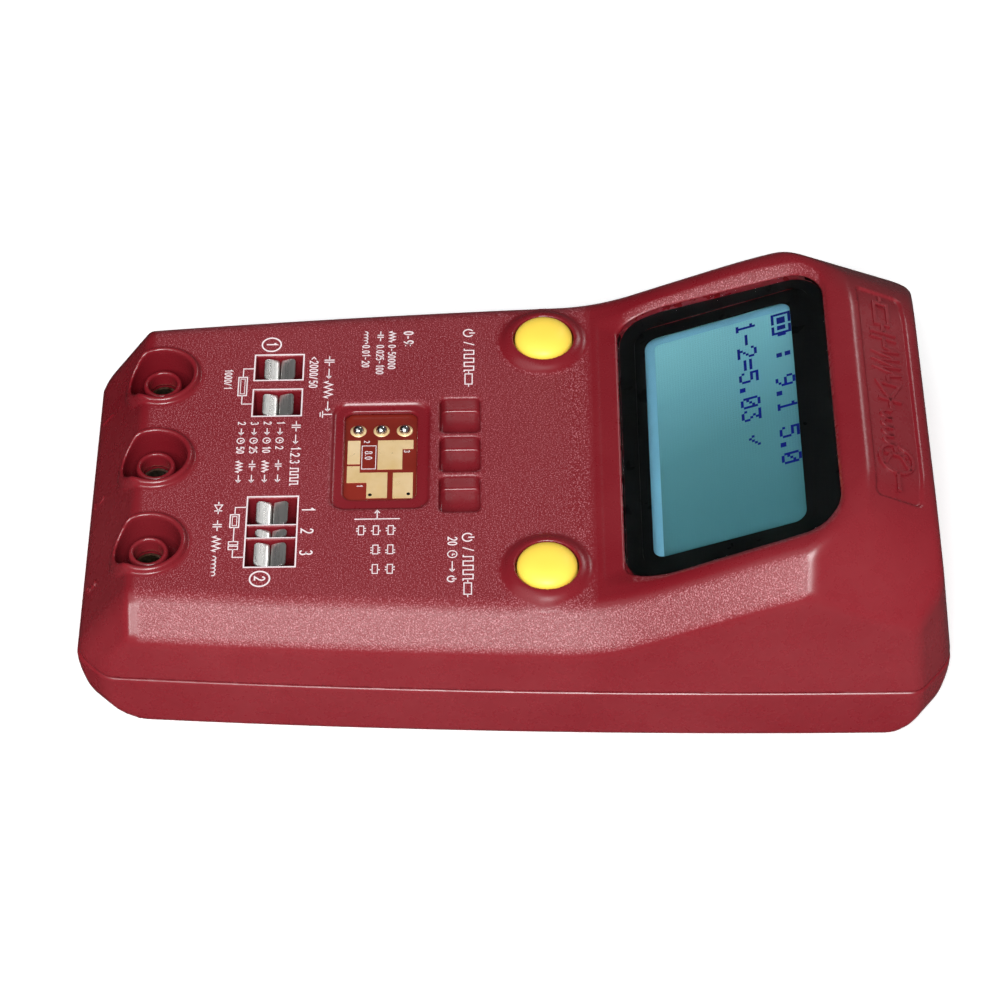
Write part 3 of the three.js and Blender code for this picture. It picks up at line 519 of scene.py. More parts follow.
def upper_shell_field(x, y, z):
    body = upper_body(x, y, z)
    shell = np.maximum(body, -(body + WALL))
    shell = smax(shell, SEAM + 0.14 - z, 0.35)
    s, n = window_axes(y, z)
    # Blocks under the face: display ledge, pockets, port chimneys and screw bosses.
    ledge = np.maximum(np.maximum(np.abs(x) - 32.4, np.abs(s - 19.4) - 21.4), np.abs(n + 1.75) - 1.25)
    shell = np.minimum(shell, np.maximum(ledge, body + 0.5))
    under = np.maximum(box2(x, y, 0, POCKET_Y, 14.0, 4.5, 1.0), np.abs(z - 22.5) - 2.0)
    shell = np.minimum(shell, under)
    for cx, width in WELLS.values():
        chimney = np.maximum(np.abs(x - cx) - width / 2 - 0.7, np.abs(y - PORT_Y) - 4.675)
        shell = np.minimum(shell, np.maximum(chimney, np.abs(z - 20.2) - 4.2))
    for cx, cy in CASE_SCREWS:
        post = np.maximum(np.hypot(x - cx, y - cy) - 3.0, SEAM + 0.3 - z)
        shell = np.minimum(shell, np.maximum(post, body + 0.8))
    for cx, cy in BOARD_SCREWS:
        post = np.maximum(np.hypot(x - cx, y - cy) - 3.0, 15.3 - z)
        shell = np.minimum(shell, np.maximum(post, body + 0.8))
    # Test board window: a sunk shelf round a straight opening.
    shelf = np.maximum((box2(x, y, -0.05, -21.33, 12.0, 8.1, 2.4) + (25.0 - z) * 0.5) / 1.12, 24.4 - z)
    shell = smax(shell, -shelf, 0.6)
    opening = np.maximum(box2(x, y, -0.5, -21.4, 10.0, 6.0, 1.6), 19.0 - z)
    shell = smax(shell, -opening, 0.3)
    seat = np.maximum(np.maximum(np.abs(x + 0.3) - 11.1, np.abs(y + 21.35) - 7.2), np.abs(z - 21.2) - 2.35)
    shell = np.maximum(shell, -seat)
    for cx in POCKETS:
        pocket = smax(box2(x, y, cx, POCKET_Y, 3.93, 3.33, 1.0), 21.7 - z, 0.2)
        shell = smax(shell, -pocket, 0.45)
    for cx, width in WELLS.values():
        well = np.maximum(np.abs(x - cx) - width / 2, np.abs(y - PORT_Y) - 3.975)
        shell = smax(shell, -np.maximum(well, 15.5 - z), 0.22)
    # Button seats: a raised collar that slopes down to the face.
    for _, cx in BUTTONS:
        r = np.hypot(x - cx, y - BUTTON_Y)
        slope = smax(z - 26.15, (z - 26.15 + 0.66 * (r - 5.9)) / 1.20, 0.5)
        collar = np.maximum(slope, np.maximum(24.0 - z, r - 8.6))
        shell = smin(shell, collar, 0.5)
        shell = smax(shell, -np.maximum(r - 5.12, 20.0 - z), 0.25)
    # Jack shrouds: rolled rims that run out over the end slope.
    for cx in JACKS:
        r = np.hypot(x - cx, y - JACK_Y)
        rim = smax(np.maximum(r - 6.5, 9.6 - z), body - 1.0, 0.9)
        shell = smin(shell, rim, 0.45)
        shell = smax(shell, -smax(r - 5.45, 12.0 - z, 0.8), 0.6)
        post = smax(np.maximum(r - 3.25, 9.6 - z), z - 23.45, 1.0)
        shell = smin(shell, post, 0.4)
        shell = smax(shell, -np.maximum(r - 2.42, -z), 0.6)
        shell = np.maximum(shell, -np.maximum(r - 2.75, z - 20.3))
    # Display recess, with the lens seat at its foot, and the hole.
    shell = smax(shell, -window_recess(x, y, z), 0.4)
    hole = rmax(np.abs(x) - 27.4, np.abs(s - 20.6) - 16.2, 2.0)
    shell = np.maximum(shell, -np.maximum(hole, np.abs(n) - 9.0))
    # Sunk panel on the end slope.
    along = (y - 56.45) * 0.918 - (z - 40.5) * 0.397
    panel = rmax(np.abs(x) - 23.4, np.abs(along - 5.85) - 4.05, 1.0)
    sunk = np.maximum(np.maximum(panel, -(body + 0.42)), 30.0 - z)
    return smax(shell, -sunk, 0.3)


def lower_shell_field(x, y, z):
    body = lower_body(x, y, z)
    shell = np.maximum(body, -(body + WALL))
    tongue = np.maximum(np.abs(upper_body(x, y, z) + 2.95) - 0.45, np.abs(z - 11.0) - 1.6)
    shell = smax(shell, z - (SEAM - 0.14), 0.35)
    shell = np.minimum(shell, tongue)
    for cx, cy in CASE_SCREWS:
        r = np.hypot(x - cx, y - cy)
        shell = np.minimum(shell, np.maximum(np.maximum(r - 3.0, z - (SEAM - 0.3)), -z + 0.6))
        shell = np.maximum(shell, -(r - 1.45))
        shell = smax(shell, -np.maximum(r - 2.7, z - 3.2), 0.3)
    door = np.maximum(np.abs(x) - 29.0, np.abs(y - 43.6) - 15.3)
    return smax(shell, -np.maximum(door, z - 3.2), 0.3)


def door_field(x, y, z):
    door = box2(x, y, 0, 43.6, 28.7, 15.0, 2.0)
    body = rmax(door, np.abs(z - 1.0) - 1.0, 0.35)
    for cx in (-16.0, 16.0):
        tab = np.maximum(np.abs(x - cx) - 5.0, np.abs(y - 59.3) - 1.3)
        body = np.minimum(body, np.maximum(tab, np.abs(z - 2.95) - 0.45))
        neck = np.maximum(np.abs(x - cx) - 5.0, np.abs(y - 58.3) - 0.3)
        body = np.minimum(body, np.maximum(neck, np.abs(z - 2.2) - 1.2))
    for i in range(5):
        groove = np.maximum(np.abs(x) - 7.0, np.abs(y - 32.55 - 2.2 * i) - 0.55)
        body = smax(body, -np.maximum(groove, z - 0.4), 0.3)
    return body


def stipple_and_glint_mask(p):
    """1 on the stippled surfaces: the flat face, the long bevels and the display's far recess wall. There the case
    material gives a rougher grain and mixes painted glints into the colour.
    """
    x, y, z = p.T
    body = np.abs(upper_body(x, y, z))
    on_body = np.clip((0.22 - body) / 0.12, 0, 1)
    flat = on_body * np.clip((14.0 - y) / 1.5, 0, 1) * np.clip((y + 60.6) / 0.8, 0, 1) * (z > 24.4)
    bevel = np.clip((0.30 - np.abs(bevel_field(x, y, z))) / 0.15, 0, 1) * on_body
    bevel = bevel * np.clip((47.6 - y) / 1.6, 0, 1) * np.clip((y + 60.0) / 1.0, 0, 1)
    s, n = window_axes(y, z)
    wall = np.clip((0.15 - np.abs(window_recess(x, y, z))) / 0.1, 0, 1) * (n > 0.06) * (s > 4.0) * (s < 38.6)
    for _, cx in BUTTONS:
        r = np.hypot(x - cx, y - BUTTON_Y)
        flat = flat * (r > 7.6)
    for cx in JACKS:
        flat = flat * np.clip((np.hypot(x - cx, y - JACK_Y) - 6.9) / 0.5, 0, 1)
    return np.maximum(np.maximum(flat, bevel), wall * (np.abs(x) > 25))


def skin(name, field, low, high, step, mask=None, **options):
    points, quads = surface(field, low, high, step)
    obj = make_object(name, points, quads, "case", **options)
    values = (mask(points) if mask else np.zeros(len(points))).astype(np.float32)
    layer = obj.data.attributes.new("stipple_and_glints", "FLOAT", "POINT")
    layer.data.foreach_set("value", values)
    return obj


FINE = 0.35
skin("upper_case", upper_shell_field, (-42.5, -71.9, 8.6), (42.5, 71.9, 41.6), FINE, stipple_and_glint_mask,
     slot="shell_plastic", stands_for=["upper_shell"])
skin("lower_case", lower_shell_field, (-42.5, -71.9, -1.0), (42.5, 71.9, 13.6), FINE * 1.4,
     slot="shell_plastic", stands_for=["lower_shell"])
skin("battery_hatch", door_field, (-30.0, 27.5, -1.0), (30.0, 61.9, 4.5), FINE * 1.4,
     body="battery_door", slot="door_plastic", stands_for=["battery_door"])


# ---------------------------------------------------------------- buttons
def button(side, x):
    z0, rim, crown = 22.4, 26.1, 27.62
    profile = [(0, 21.5), (5.9, 21.5), (6.0, 21.6), (6.0, 22.3), (5.9, z0), (4.88, z0), (4.86, rim - 0.35)]
    steps = 14
    for i in range(steps + 1):
        angle = math.radians(8 + 82 * i / steps)
        profile.append((4.86 * math.cos(angle) ** 0.72, rim - 0.3 + (crown - rim + 0.3) * math.sin(angle) ** 1.15))
    profile[-1] = (0, crown)
    lathe(f"button_dome_{side}", profile, x, BUTTON_Y, "yellow", 72, body=f"button_{side}",
          slot="button_yellow", stands_for=[f"button_cap_{side}"])


for side_name, button_x in BUTTONS:
    button(side_name, button_x)


# ---------------------------------------------------------------- contact leaves
def leaf(name, cx, width, side):
    """A folded spring strip: an upright blade that rolls over into a sloping lip with rounded corners."""
    path = [(0.0, 15.3), (0.0, 19.0), (0.0, 23.65)]
    path += [(0.45 * (1 - math.cos(math.radians(a))), 23.8 + 0.45 * math.sin(math.radians(a)))
             for a in (18, 36, 54, 70)]
    path += [(0.65, 24.33), (1.2, 24.50), (1.75, 24.66), (2.15, 24.78), (2.42, 24.84)]
    trim = [0, 0, 0, 0, 0, 0, 0, 0, 0, 0.04, 0.2, 0.6]
    thick, half = 0.32, width / 2 - 0.42
    points, across = [], 7
    for layer in (0, 1):
        for i, (out, z) in enumerate(path):
            a, b = path[max(i - 1, 0)], path[min(i + 1, len(path) - 1)]
            dy, dz = b[0] - a[0], b[1] - a[1]
            length = math.hypot(dy, dz)
            shift = layer * thick
            oy, oz = out + shift * dz / length, z - shift * dy / length
            for j in range(across):
                x = cx + (half - trim[i]) * (2 * j / (across - 1) - 1)
                points.append((x, PORT_Y + side * (0.12 + oy), oz))
    rows, faces, layer = len(path), [], len(path) * across
    for i in range(rows - 1):
        for j in range(across - 1):
            a, b = i * across + j, (i + 1) * across + j
            faces += [[a, a + 1, b + 1, b], [layer + a, layer + b, layer + b + 1, layer + a + 1]]
        a, b = i * across, (i + 1) * across
        faces += [[a, b, layer + b, layer + a]]
        a, b = a + across - 1, b + across - 1
        faces += [[a, layer + a, layer + b, b]]
    for j in range(across - 1):
        a = (rows - 1) * across + j
        faces += [[j, layer + j, layer + j + 1, j + 1], [a, a + 1, layer + a + 1, layer + a]]
    obj = make_object(name, points, faces, "nickel", body=name.replace("leaf", "contact"),
                      slot="contact_nickel", stands_for=[name.replace("leaf", "contact")])
    mesh = bmesh.new()
    mesh.from_mesh(obj.data)
    bmesh.ops.recalc_face_normals(mesh, faces=mesh.faces)
    mesh.to_mesh(obj.data)
    mesh.free()
    bevelled(obj, 0.06, 2)


for well_name, (well_x, well_width) in WELLS.items():
    leaf(f"leaf_{well_name}_near", well_x, well_width, -1)
    leaf(f"leaf_{well_name}_far", well_x, well_width, 1)


# ---------------------------------------------------------------- surface-mount test board
BOARD_TOP = 23.4


def pads():
    outlines = {
        "a": [(-4.7, -26.9), (0.6, -26.9), (0.6, -24.8), (-4.7, -24.8)],
        "b": [(-4.7, -21.9), (1.9, -21.9), (1.9, -17.8), (-2.7, -17.8), (-2.7, -16.0), (-4.7, -16.0)],
        "c": [(1.1, -26.9), (4.8, -26.9), (4.8, -23.6), (8.3, -23.6), (8.3, -20.2), (2.6, -20.2), (2.6, -24.8), (1.1, -24.8)],
        "d": [(2.7, -19.3), (8.4, -19.3), (8.4, -16.0), (2.7, -16.0)],
    }
    for name, outline in outlines.items():
        prism(f"test_pad_{name}", outline, BOARD_TOP + 0.01, BOARD_TOP + 0.07, "gold", slot="contact_nickel")
    for i, (x, y) in enumerate(((7.6, -23.0), (7.5, -16.7))):
        lathe(f"pad_via_{i + 1}", [(0, BOARD_TOP + 0.07), (0.32, BOARD_TOP + 0.07), (0.3, BOARD_TOP + 0.1), (0, BOARD_TOP + 0.1)],
              x, y, "black_ink", 20, slot="black_print")
    for i in (-1, 0, 1):
        y = -21.35 + 3.86 * i
        lathe(f"pin_land_{i + 2}", [(0.9, BOARD_TOP + 0.01), (1.35, BOARD_TOP + 0.01), (1.35, BOARD_TOP + 0.06), (0.9, BOARD_TOP + 0.06)],
              -6.9, y, "gold", 36, slot="contact_nickel")
        dome = [(0, 15.3), (0.45, 15.3), (0.45, BOARD_TOP), (0.95, BOARD_TOP + 0.05), (0.93, BOARD_TOP + 0.3)]
        dome += [(0.9 * math.cos(a), BOARD_TOP + 0.3 + 0.75 * math.sin(a)) for a in (0.3, 0.6, 0.9, 1.2, 1.4)]
        dome += [(0, BOARD_TOP + 1.05)]
        lathe(f"solder_joint_{i + 2}", dome, -6.9, y, "solder", 36, slot="solder", stands_for=[f"smd_pin_{i + 2}"])


pads()


# ---------------------------------------------------------------- display
def window_outline(s0, s1, grow, radius, half=None, steps=8):
    """The rounded outline of a plate in the window's own axes, narrowing up the slope as the window does."""
    out = []
    for x, s in rounded_outline(-30, 30, s0, s1, radius, steps):
        w = (window_half(s) if half is None else half) + grow
        out.append((math.copysign(w - (30 - abs(x)), x), s))
    return out


def clear_plastic(name):
    n = Nodes(name, (0.97, 0.99, 0.99), 0.03)
    n.set("Transmission Weight", 1.0)
    n.set("IOR", 1.12)
    n.roughness(n.span(n.noise(120.0, 3.0), 0.0, 0.008))
    return n.material


def lcd_material():
    """Blue-green glass: its colour is painted with light and shade, lighter at one corner and deepening towards the
    other, with a fine pixel grid and light margins.
    """
    n = Nodes("lcd_glass", (0.10, 0.32, 0.38), 0.30)
    parts = n.new("ShaderNodeSeparateXYZ", Vector=n.place()).outputs
    x_mm = n.math("MULTIPLY", parts["X"], 1000.0)
    y_mm = n.math("MULTIPLY", parts["Y"], 1000.0)
    # Painted light and shade: the glass colour runs lighter towards one corner and deeper towards the other, with a
    # faint random wobble.
    painted_falloff = n.math("ADD", n.math("MULTIPLY", x_mm, 0.0195), n.math("MULTIPLY", n.math("SUBTRACT", y_mm, 34.0), 0.006))
    tint_and_painted_falloff = n.ramp(n.math("ADD", n.math("ADD", painted_falloff, 0.5), n.math("MULTIPLY", n.noise(60.0), 0.03)),
                  [(0.02, (0.220, 0.540, 0.610)), (0.28, (0.130, 0.350, 0.410)), (0.55, (0.078, 0.230, 0.270)),
                   (0.95, (0.052, 0.165, 0.195))])
    lines = n.math("MAXIMUM", n.math("SINE", n.math("MULTIPLY", x_mm, 12.9)), n.math("SINE", n.math("MULTIPLY", y_mm, 13.9)))
    shade = n.span(lines, 0.93, 1.03, 0.2, 1.0)
    grid = n.new("ShaderNodeVectorMath", Vector=tint_and_painted_falloff)
    grid.operation = "SCALE"
    n.link(shade, grid.inputs["Scale"])
    n.colour(grid.outputs["Vector"])
    n.set("Specular IOR Level", 0.1)
    return n.material


def ring_faces(n):
    """Faces of a flat ring: n outer and n inner points below, then the same above."""
    faces = []
    for i in range(n):
        j = (i + 1) % n
        faces += [[i, n + i, n + j, j], [2 * n + i, 2 * n + j, 3 * n + j, 3 * n + i],
                  [i, j, 2 * n + j, 2 * n + i], [n + i, 3 * n + i, 3 * n + j, n + j]]
    return faces


def display():
    d = window_point
    lens = prism("window_lens", window_outline(2.5, 38.7, 0.0, 6.3), -1.2, 0.0, clear_plastic("window_clear"),
                 place=d, slot="display_lens", stands_for=["display_lens"])
    bevelled(lens, 0.12, 2)
    rings = ((-1.45, -1.27, window_outline(2.55, 38.65, -0.05, 6.3), window_outline(5.2, 36.0, 0.0, 3.4, 27.0)),
             (-2.03, -1.87, window_outline(4.75, 36.45, 0.0, 3.4, 27.3), window_outline(6.8, 32.6, 0.0, 2.2, 24.8)))
    points, faces = [], []
    for low, high, outer, inner in rings:
        start = len(points)
        points += [d(x, s, z) for z in (low, high) for ring in (outer, inner) for x, s in ring]
        faces += [[start + i for i in face] for face in ring_faces(len(outer))]
    make_object("window_border", points, faces, "black_ink", smooth=False, slot="black_print",
                stands_for=["display_mask"])
    glass = prism("lcd_panel", rounded_outline(-28, 28, 4.2, 36.4, 0.5), -4.9, -3.3, lcd_material(),
                  place=d, slot="lcd_glass", stands_for=["lcd_glass"])
    bevelled(glass, 0.1, 2)
    outer, inner = (window_outline(*ends, 0.0, r, w) for ends, r, w in (((5.6, 34.0), 1.5, 25.8), ((8.15, 33.2), 0.8, 24.35)))
    points = [d(x, s, z) for z in (-3.29, -3.24) for ring in (outer, inner) for x, s in ring]
    make_object("lcd_margin", points, ring_faces(len(outer)), "lcd_margin", smooth=False, slot="lcd_glass")


display()

# ---------------------------------------------------------------- display characters
GLYPHS = {
    "0": "01110 10001 10011 10101 11001 10001 01110", "1": "00100 01100 00100 00100 00100 00100 01110",
    "2": "01110 10001 00001 00010 00100 01000 11111", "3": "11111 00010 00100 00010 00001 10001 01110",
    "4": "00010 00110 01010 10010 11111 00010 00010", "5": "11111 10000 11110 00001 00001 10001 01110",
    "6": "00110 01000 10000 11110 10001 10001 01110", "7": "11111 00001 00010 00100 01000 01000 01000",
    "8": "01110 10001 10001 01110 10001 10001 01110", "9": "01110 10001 10001 01111 00001 00010 01100",
    ".": "00000 00000 00000 00000 00000 01100 01100", "=": "00000 00000 11111 00000 11111 00000 00000",
    "-": "00000 00000 00000 11111 00000 00000 00000", ":": "00000 01100 01100 00000 01100 01100 00000",
    "[": "11111 10000 10111 10111 10111 10000 11111", "]": "11110 00010 11011 11011 11011 00010 11110",
    "+": "00000 00100 00100 11111 00100 00100 00000", "/": "00000 00001 00010 10100 01000 00000 00000",
    " ": "00000 00000 00000 00000 00000 00000 00000",
}


def characters(name, text, x0, s_mid, pitch=0.485, height=-3.28):
    points, faces = [], []
    dot = pitch * 0.5
    for i, char in enumerate(text):
        for row, bits in enumerate(GLYPHS[char].split()):
            for column, bit in enumerate(bits):
                if bit == "0":
                    continue
                x = x0 + (i * 6 + column) * pitch
                s = s_mid + (3 - row) * pitch
                base = len(points)
                for z in (height, height + 0.03):
                    points += [window_point(x + dx * dot, s + ds * dot, z) for dx, ds in ((-1, -1), (1, -1), (1, 1), (-1, 1))]
                faces += [[base + f for f in face] for face in
                          ([3, 2, 1, 0], [4, 5, 6, 7], [0, 1, 5, 4], [1, 2, 6, 5], [2, 3, 7, 6], [3, 0, 4, 7])]
    make_object(name, points, faces, "lcd_ink", smooth=False, slot="black_print")


characters("lcd_row_1", "[] : 9.1 5.0", -23.6, 30.5)
characters("lcd_row_2", "1-2=5.03 /", -23.6, 24.3)


# ---------------------------------------------------------------- printed marks on the face
INK_Z, INK = 25.01, 0.05


def stroke(name, path, width, z=INK_Z, thick=INK, closed=False, look="white_ink", place=None, slot=None):
    """A printed line of even width along points [(x, y)] on the face."""
    path = [p for i, p in enumerate(path) if i == 0 or math.dist(p, path[i - 1]) > 1e-4]
    n = len(path)
    left, right = [], []
    for i, (x, y) in enumerate(path):
        ends = []
        if closed or i > 0:
            ax, ay = path[i - 1]
            ends.append((x - ax, y - ay))
        if closed or i < n - 1:
            bx, by = path[(i + 1) % n]
            ends.append((bx - x, by - y))
        ends = [(a / math.hypot(a, b), b / math.hypot(a, b)) for a, b in ends]
        tx, ty = sum(e[0] for e in ends), sum(e[1] for e in ends)
        length = math.hypot(tx, ty)
        nx, ny = -ty / length, tx / length
        grow = 1.0 if len(ends) < 2 else 1.0 / max(0.35, abs(nx * -ends[0][1] + ny * ends[0][0]))
        half = width / 2 * grow
        left.append((x + nx * half, y + ny * half))
        right.append((x - nx * half, y - ny * half))
    ring = left + right
    points = [(x, y, z) for x, y in ring] + [(x, y, z + thick) for x, y in ring]
    faces, m = [], 2 * n
    for i in range(n if closed else n - 1):
        j = (i + 1) % n
        faces += [[i, j, n + j, n + i], [m + i, m + n + i, m + n + j, m + j],
                  [i, m + i, m + j, j], [n + i, n + j, m + n + j, m + n + i]]
    if not closed:
        faces += [[0, n, m + n, m], [n - 1, m + n - 1, m + 2 * n - 1, 2 * n - 1]]
    if place:
        points = [place(*p) for p in points]
    return points, faces


def print_group(name, strokes, look="white_ink", **options):
    points, faces = [], []
    for some_points, some_faces in strokes:
        base = len(points)
        points += some_points
        faces += [[base + i for i in face] for face in some_faces]
    return make_object(name, points, faces, look, smooth=False, **options)


def ring_path(cx, cy, rx, ry=None, count=40, start=0.0, stop=360.0):
    ry = rx if ry is None else ry
    full = abs(stop - start) >= 360
    steps = count if full else count - 1
    return [(cx + rx * math.cos(math.radians(start + (stop - start) * i / steps)),
             cy + ry * math.sin(math.radians(start + (stop - start) * i / steps))) for i in range(count)]


def rect_path(x0, x1, y0, y1):
    return [(x0, y0), (x1, y0), (x1, y1), (x0, y1)]


# Single-stroke numerals in a 1 x 1.6 cell.
NUMERALS = {
    "0": [ring_path(0.5, 0.8, 0.42, 0.75, 20)], "1": [[(0.2, 1.25), (0.55, 1.6), (0.55, 0.0)]],
    "2": [ring_path(0.5, 1.12, 0.42, 0.45, 9, 170, -20) + [(0.78, 0.75), (0.08, 0.05), (0.95, 0.05)]],
    "3": [ring_path(0.48, 1.18, 0.38, 0.39, 9, 155, -88) + ring_path(0.46, 0.4, 0.44, 0.4, 9, 86, -155)],
    "4": [[(0.72, 0.0), (0.72, 1.6), (0.05, 0.5), (0.98, 0.5)]],
    "5": [[(0.88, 1.55), (0.2, 1.55), (0.13, 0.88)] + ring_path(0.47, 0.52, 0.44, 0.5, 10, 130, -150)],
    "6": [ring_path(0.5, 0.47, 0.42, 0.45, 18) + [(0.92, 0.5)], [(0.1, 0.6), (0.25, 1.15), (0.7, 1.6)]],
    "7": [[(0.05, 1.55), (0.95, 1.55), (0.4, 0.0)]],
    "8": [ring_path(0.5, 1.2, 0.36, 0.38, 16) + [(0.86, 1.2)], ring_path(0.5, 0.42, 0.43, 0.42, 18) + [(0.93, 0.42)]],
    "9": [ring_path(0.5, 1.13, 0.42, 0.45, 18) + [(0.92, 1.13)], [(0.92, 1.1), (0.75, 0.45), (0.3, 0.0)]],
    ".": [[(0.1, 0.0), (0.1, 0.16)]], "-": [[(0.1, 0.72), (0.8, 0.72)]], "/": [[(0.0, 0.0), (0.7, 1.6)]],
    ":": [[(0.15, 0.25), (0.15, 0.42)], [(0.15, 1.05), (0.15, 1.22)]], "+": [[(0.1, 0.75), (0.9, 0.75)], [(0.5, 0.35), (0.5, 1.15)]],
    "<": [[(0.8, 1.2), (0.1, 0.75), (0.8, 0.3)]], ">": [[(0.1, 1.2), (0.8, 0.75), (0.1, 0.3)]],
}
NARROW = {".": 0.35, ":": 0.45, "1": 0.85, "-": 1.05, "/": 0.95}


def numerals(text, x, y, height, width=0.16, place=None, squeeze=0.8, z=INK_Z, thick=INK):
    """Strokes for a run of numerals that starts at x with its foot at y."""
    scale = height / 1.6
    strokes, pen = [], x
    for char in text:
        if char != " ":
            for path in NUMERALS[char]:
                closed = char == "0"
                flat = [(pen + a * scale * squeeze, y + b * scale) for a, b in path]
                strokes.append(stroke("", flat, width, closed=closed, place=place, z=z, thick=thick))
        pen += (NARROW.get(char, 1.0) * squeeze + 0.28) * scale
    return strokes


def circled(text, cx, cy, radius=1.6):
    return [stroke("", ring_path(cx, cy, radius, radius), 0.26, closed=True)] + numerals(text, cx - 0.5, cy - 0.85, 1.7, 0.24)


def resistor(cx, cy, half_x, half_y, width=0.18):
    return [stroke("", rect_path(cx - half_x, cx + half_x, cy - half_y, cy + half_y), width, closed=True)]


def wires(*paths):
    return [stroke("", path, 0.18) for path in paths]


def face_marks():
    frames = [rect_path(x0, x1, y0, y1) for x0, x1, y0, y1 in (
        (-23.65, -17.6, -43.0, -34.75), (-15.45, -9.2, -43.0, -34.75), (9.1, 24.5, -42.85, -34.55))]
    print_group("port_frames", [stroke("", f, 0.24, closed=True) for f in frames]
                + wires([(15.35, -42.7), (15.35, -34.7)], [(18.2, -42.7), (18.2, -34.7)]), slot="black_print")
    print_group("port_number_1", circled("1", -26.1, -40.35), slot="black_print")
    print_group("port_number_2", circled("2", 27.0, -40.15), slot="black_print")
    digits = []
    for text, x in (("1", 11.6), ("2", 16.3), ("3", 21.0)):
        digits += numerals(text, x, -33.9, 2.0, 0.24)
    print_group("contact_numbers", digits, slot="black_print")
    print_group("discharge_symbol", resistor(-16.25, -44.85, 2.15, 0.72, 0.2) + resistor(-16.25, -44.85, 1.75, 0.36, 0.12)
                + wires([(-20.4, -43.1), (-20.4, -44.85), (-18.4, -44.85)], [(-14.1, -44.85), (-12.1, -44.85), (-12.1, -43.1)]),
                slot="black_print")
    print_group("lead_symbol", resistor(14.4, -44.75, 1.4, 0.72, 0.2) + resistor(14.4, -44.75, 1.0, 0.36, 0.12)
                + [stroke("", rect_path(a, b, -45.5, -44.0), 0.16, closed=True) for a, b in ((18.9, 19.6), (19.9, 20.6))]
                + wires([(11.4, -42.9), (11.4, -44.75), (13.0, -44.75)], [(15.8, -44.75), (18.9, -44.75)],
                        [(20.6, -44.75), (22.3, -44.75), (22.3, -42.9)]), slot="black_print")


face_marks()


def power_symbol(cx, cy, r=0.85):
    return [stroke("", ring_path(cx, cy, r, r, 22, 125, 415), 0.22), stroke("", [(cx, cy + 0.1), (cx, cy + r + 0.25)], 0.22)]


def pulse(x, y, step=0.7, height=1.5, count=3):
    path = [(x, y)]
    for i in range(count):
        a = x + i * 2 * step
        path += [(a + step * 0.4, y), (a + step * 0.4, y + height), (a + step * 1.4, y + height), (a + step * 1.4, y)]
    path.append((path[-1][0] + step * 0.4, y))
    return [stroke("", path, 0.2)]


def diode(x, y, size=1.3):
    return [stroke("", [(x, y - size / 2), (x + size, y), (x, y + size / 2)], 0.18, closed=True),
            stroke("", [(x + size, y - size / 2), (x + size, y + size / 2)], 0.18),
            stroke("", [(x - 0.7, y), (x, y)], 0.18), stroke("", [(x + size, y), (x + size + 0.7, y)], 0.18)]


def capacitor(x, y, size=1.5):
    return [stroke("", [(x - 0.9, y), (x, y)], 0.18), stroke("", [(x, y - size / 2), (x, y + size / 2)], 0.2),
            stroke("", [(x + 0.5, y - size / 2), (x + 0.5, y + size / 2)], 0.2), stroke("", [(x + 0.5, y), (x + 1.4, y)], 0.18)]


def zigzag(x, y, width=3.2, height=1.1):
    n = 7
    path = [(x, y)] + [(x + width * (i + 0.5) / n, y + (height / 2 if i % 2 else -height / 2)) for i in range(n)] + [(x + width, y)]
    return [stroke("", path, 0.18)]


def coil(x, y, turns=4, r=0.42):
    path = []
    for i in range(turns):
        path += ring_path(x + r + 2 * r * i, y, r, r * 1.3, 8, 180, 0)
    return [stroke("", path, 0.18)]


def clock(cx, cy, r=0.75):
    return [stroke("", ring_path(cx, cy, r, r, 24), 0.16, closed=True),
            stroke("", [(cx, cy + r * 0.6), (cx, cy), (cx + r * 0.5, cy)], 0.16)]


def arrow(x0, x1, y, head=0.5):
    return [stroke("", [(x0, y), (x1, y)], 0.18), stroke("", [(x1 - head, y + head * 0.8), (x1, y), (x1 - head, y - head * 0.8)], 0.18)]


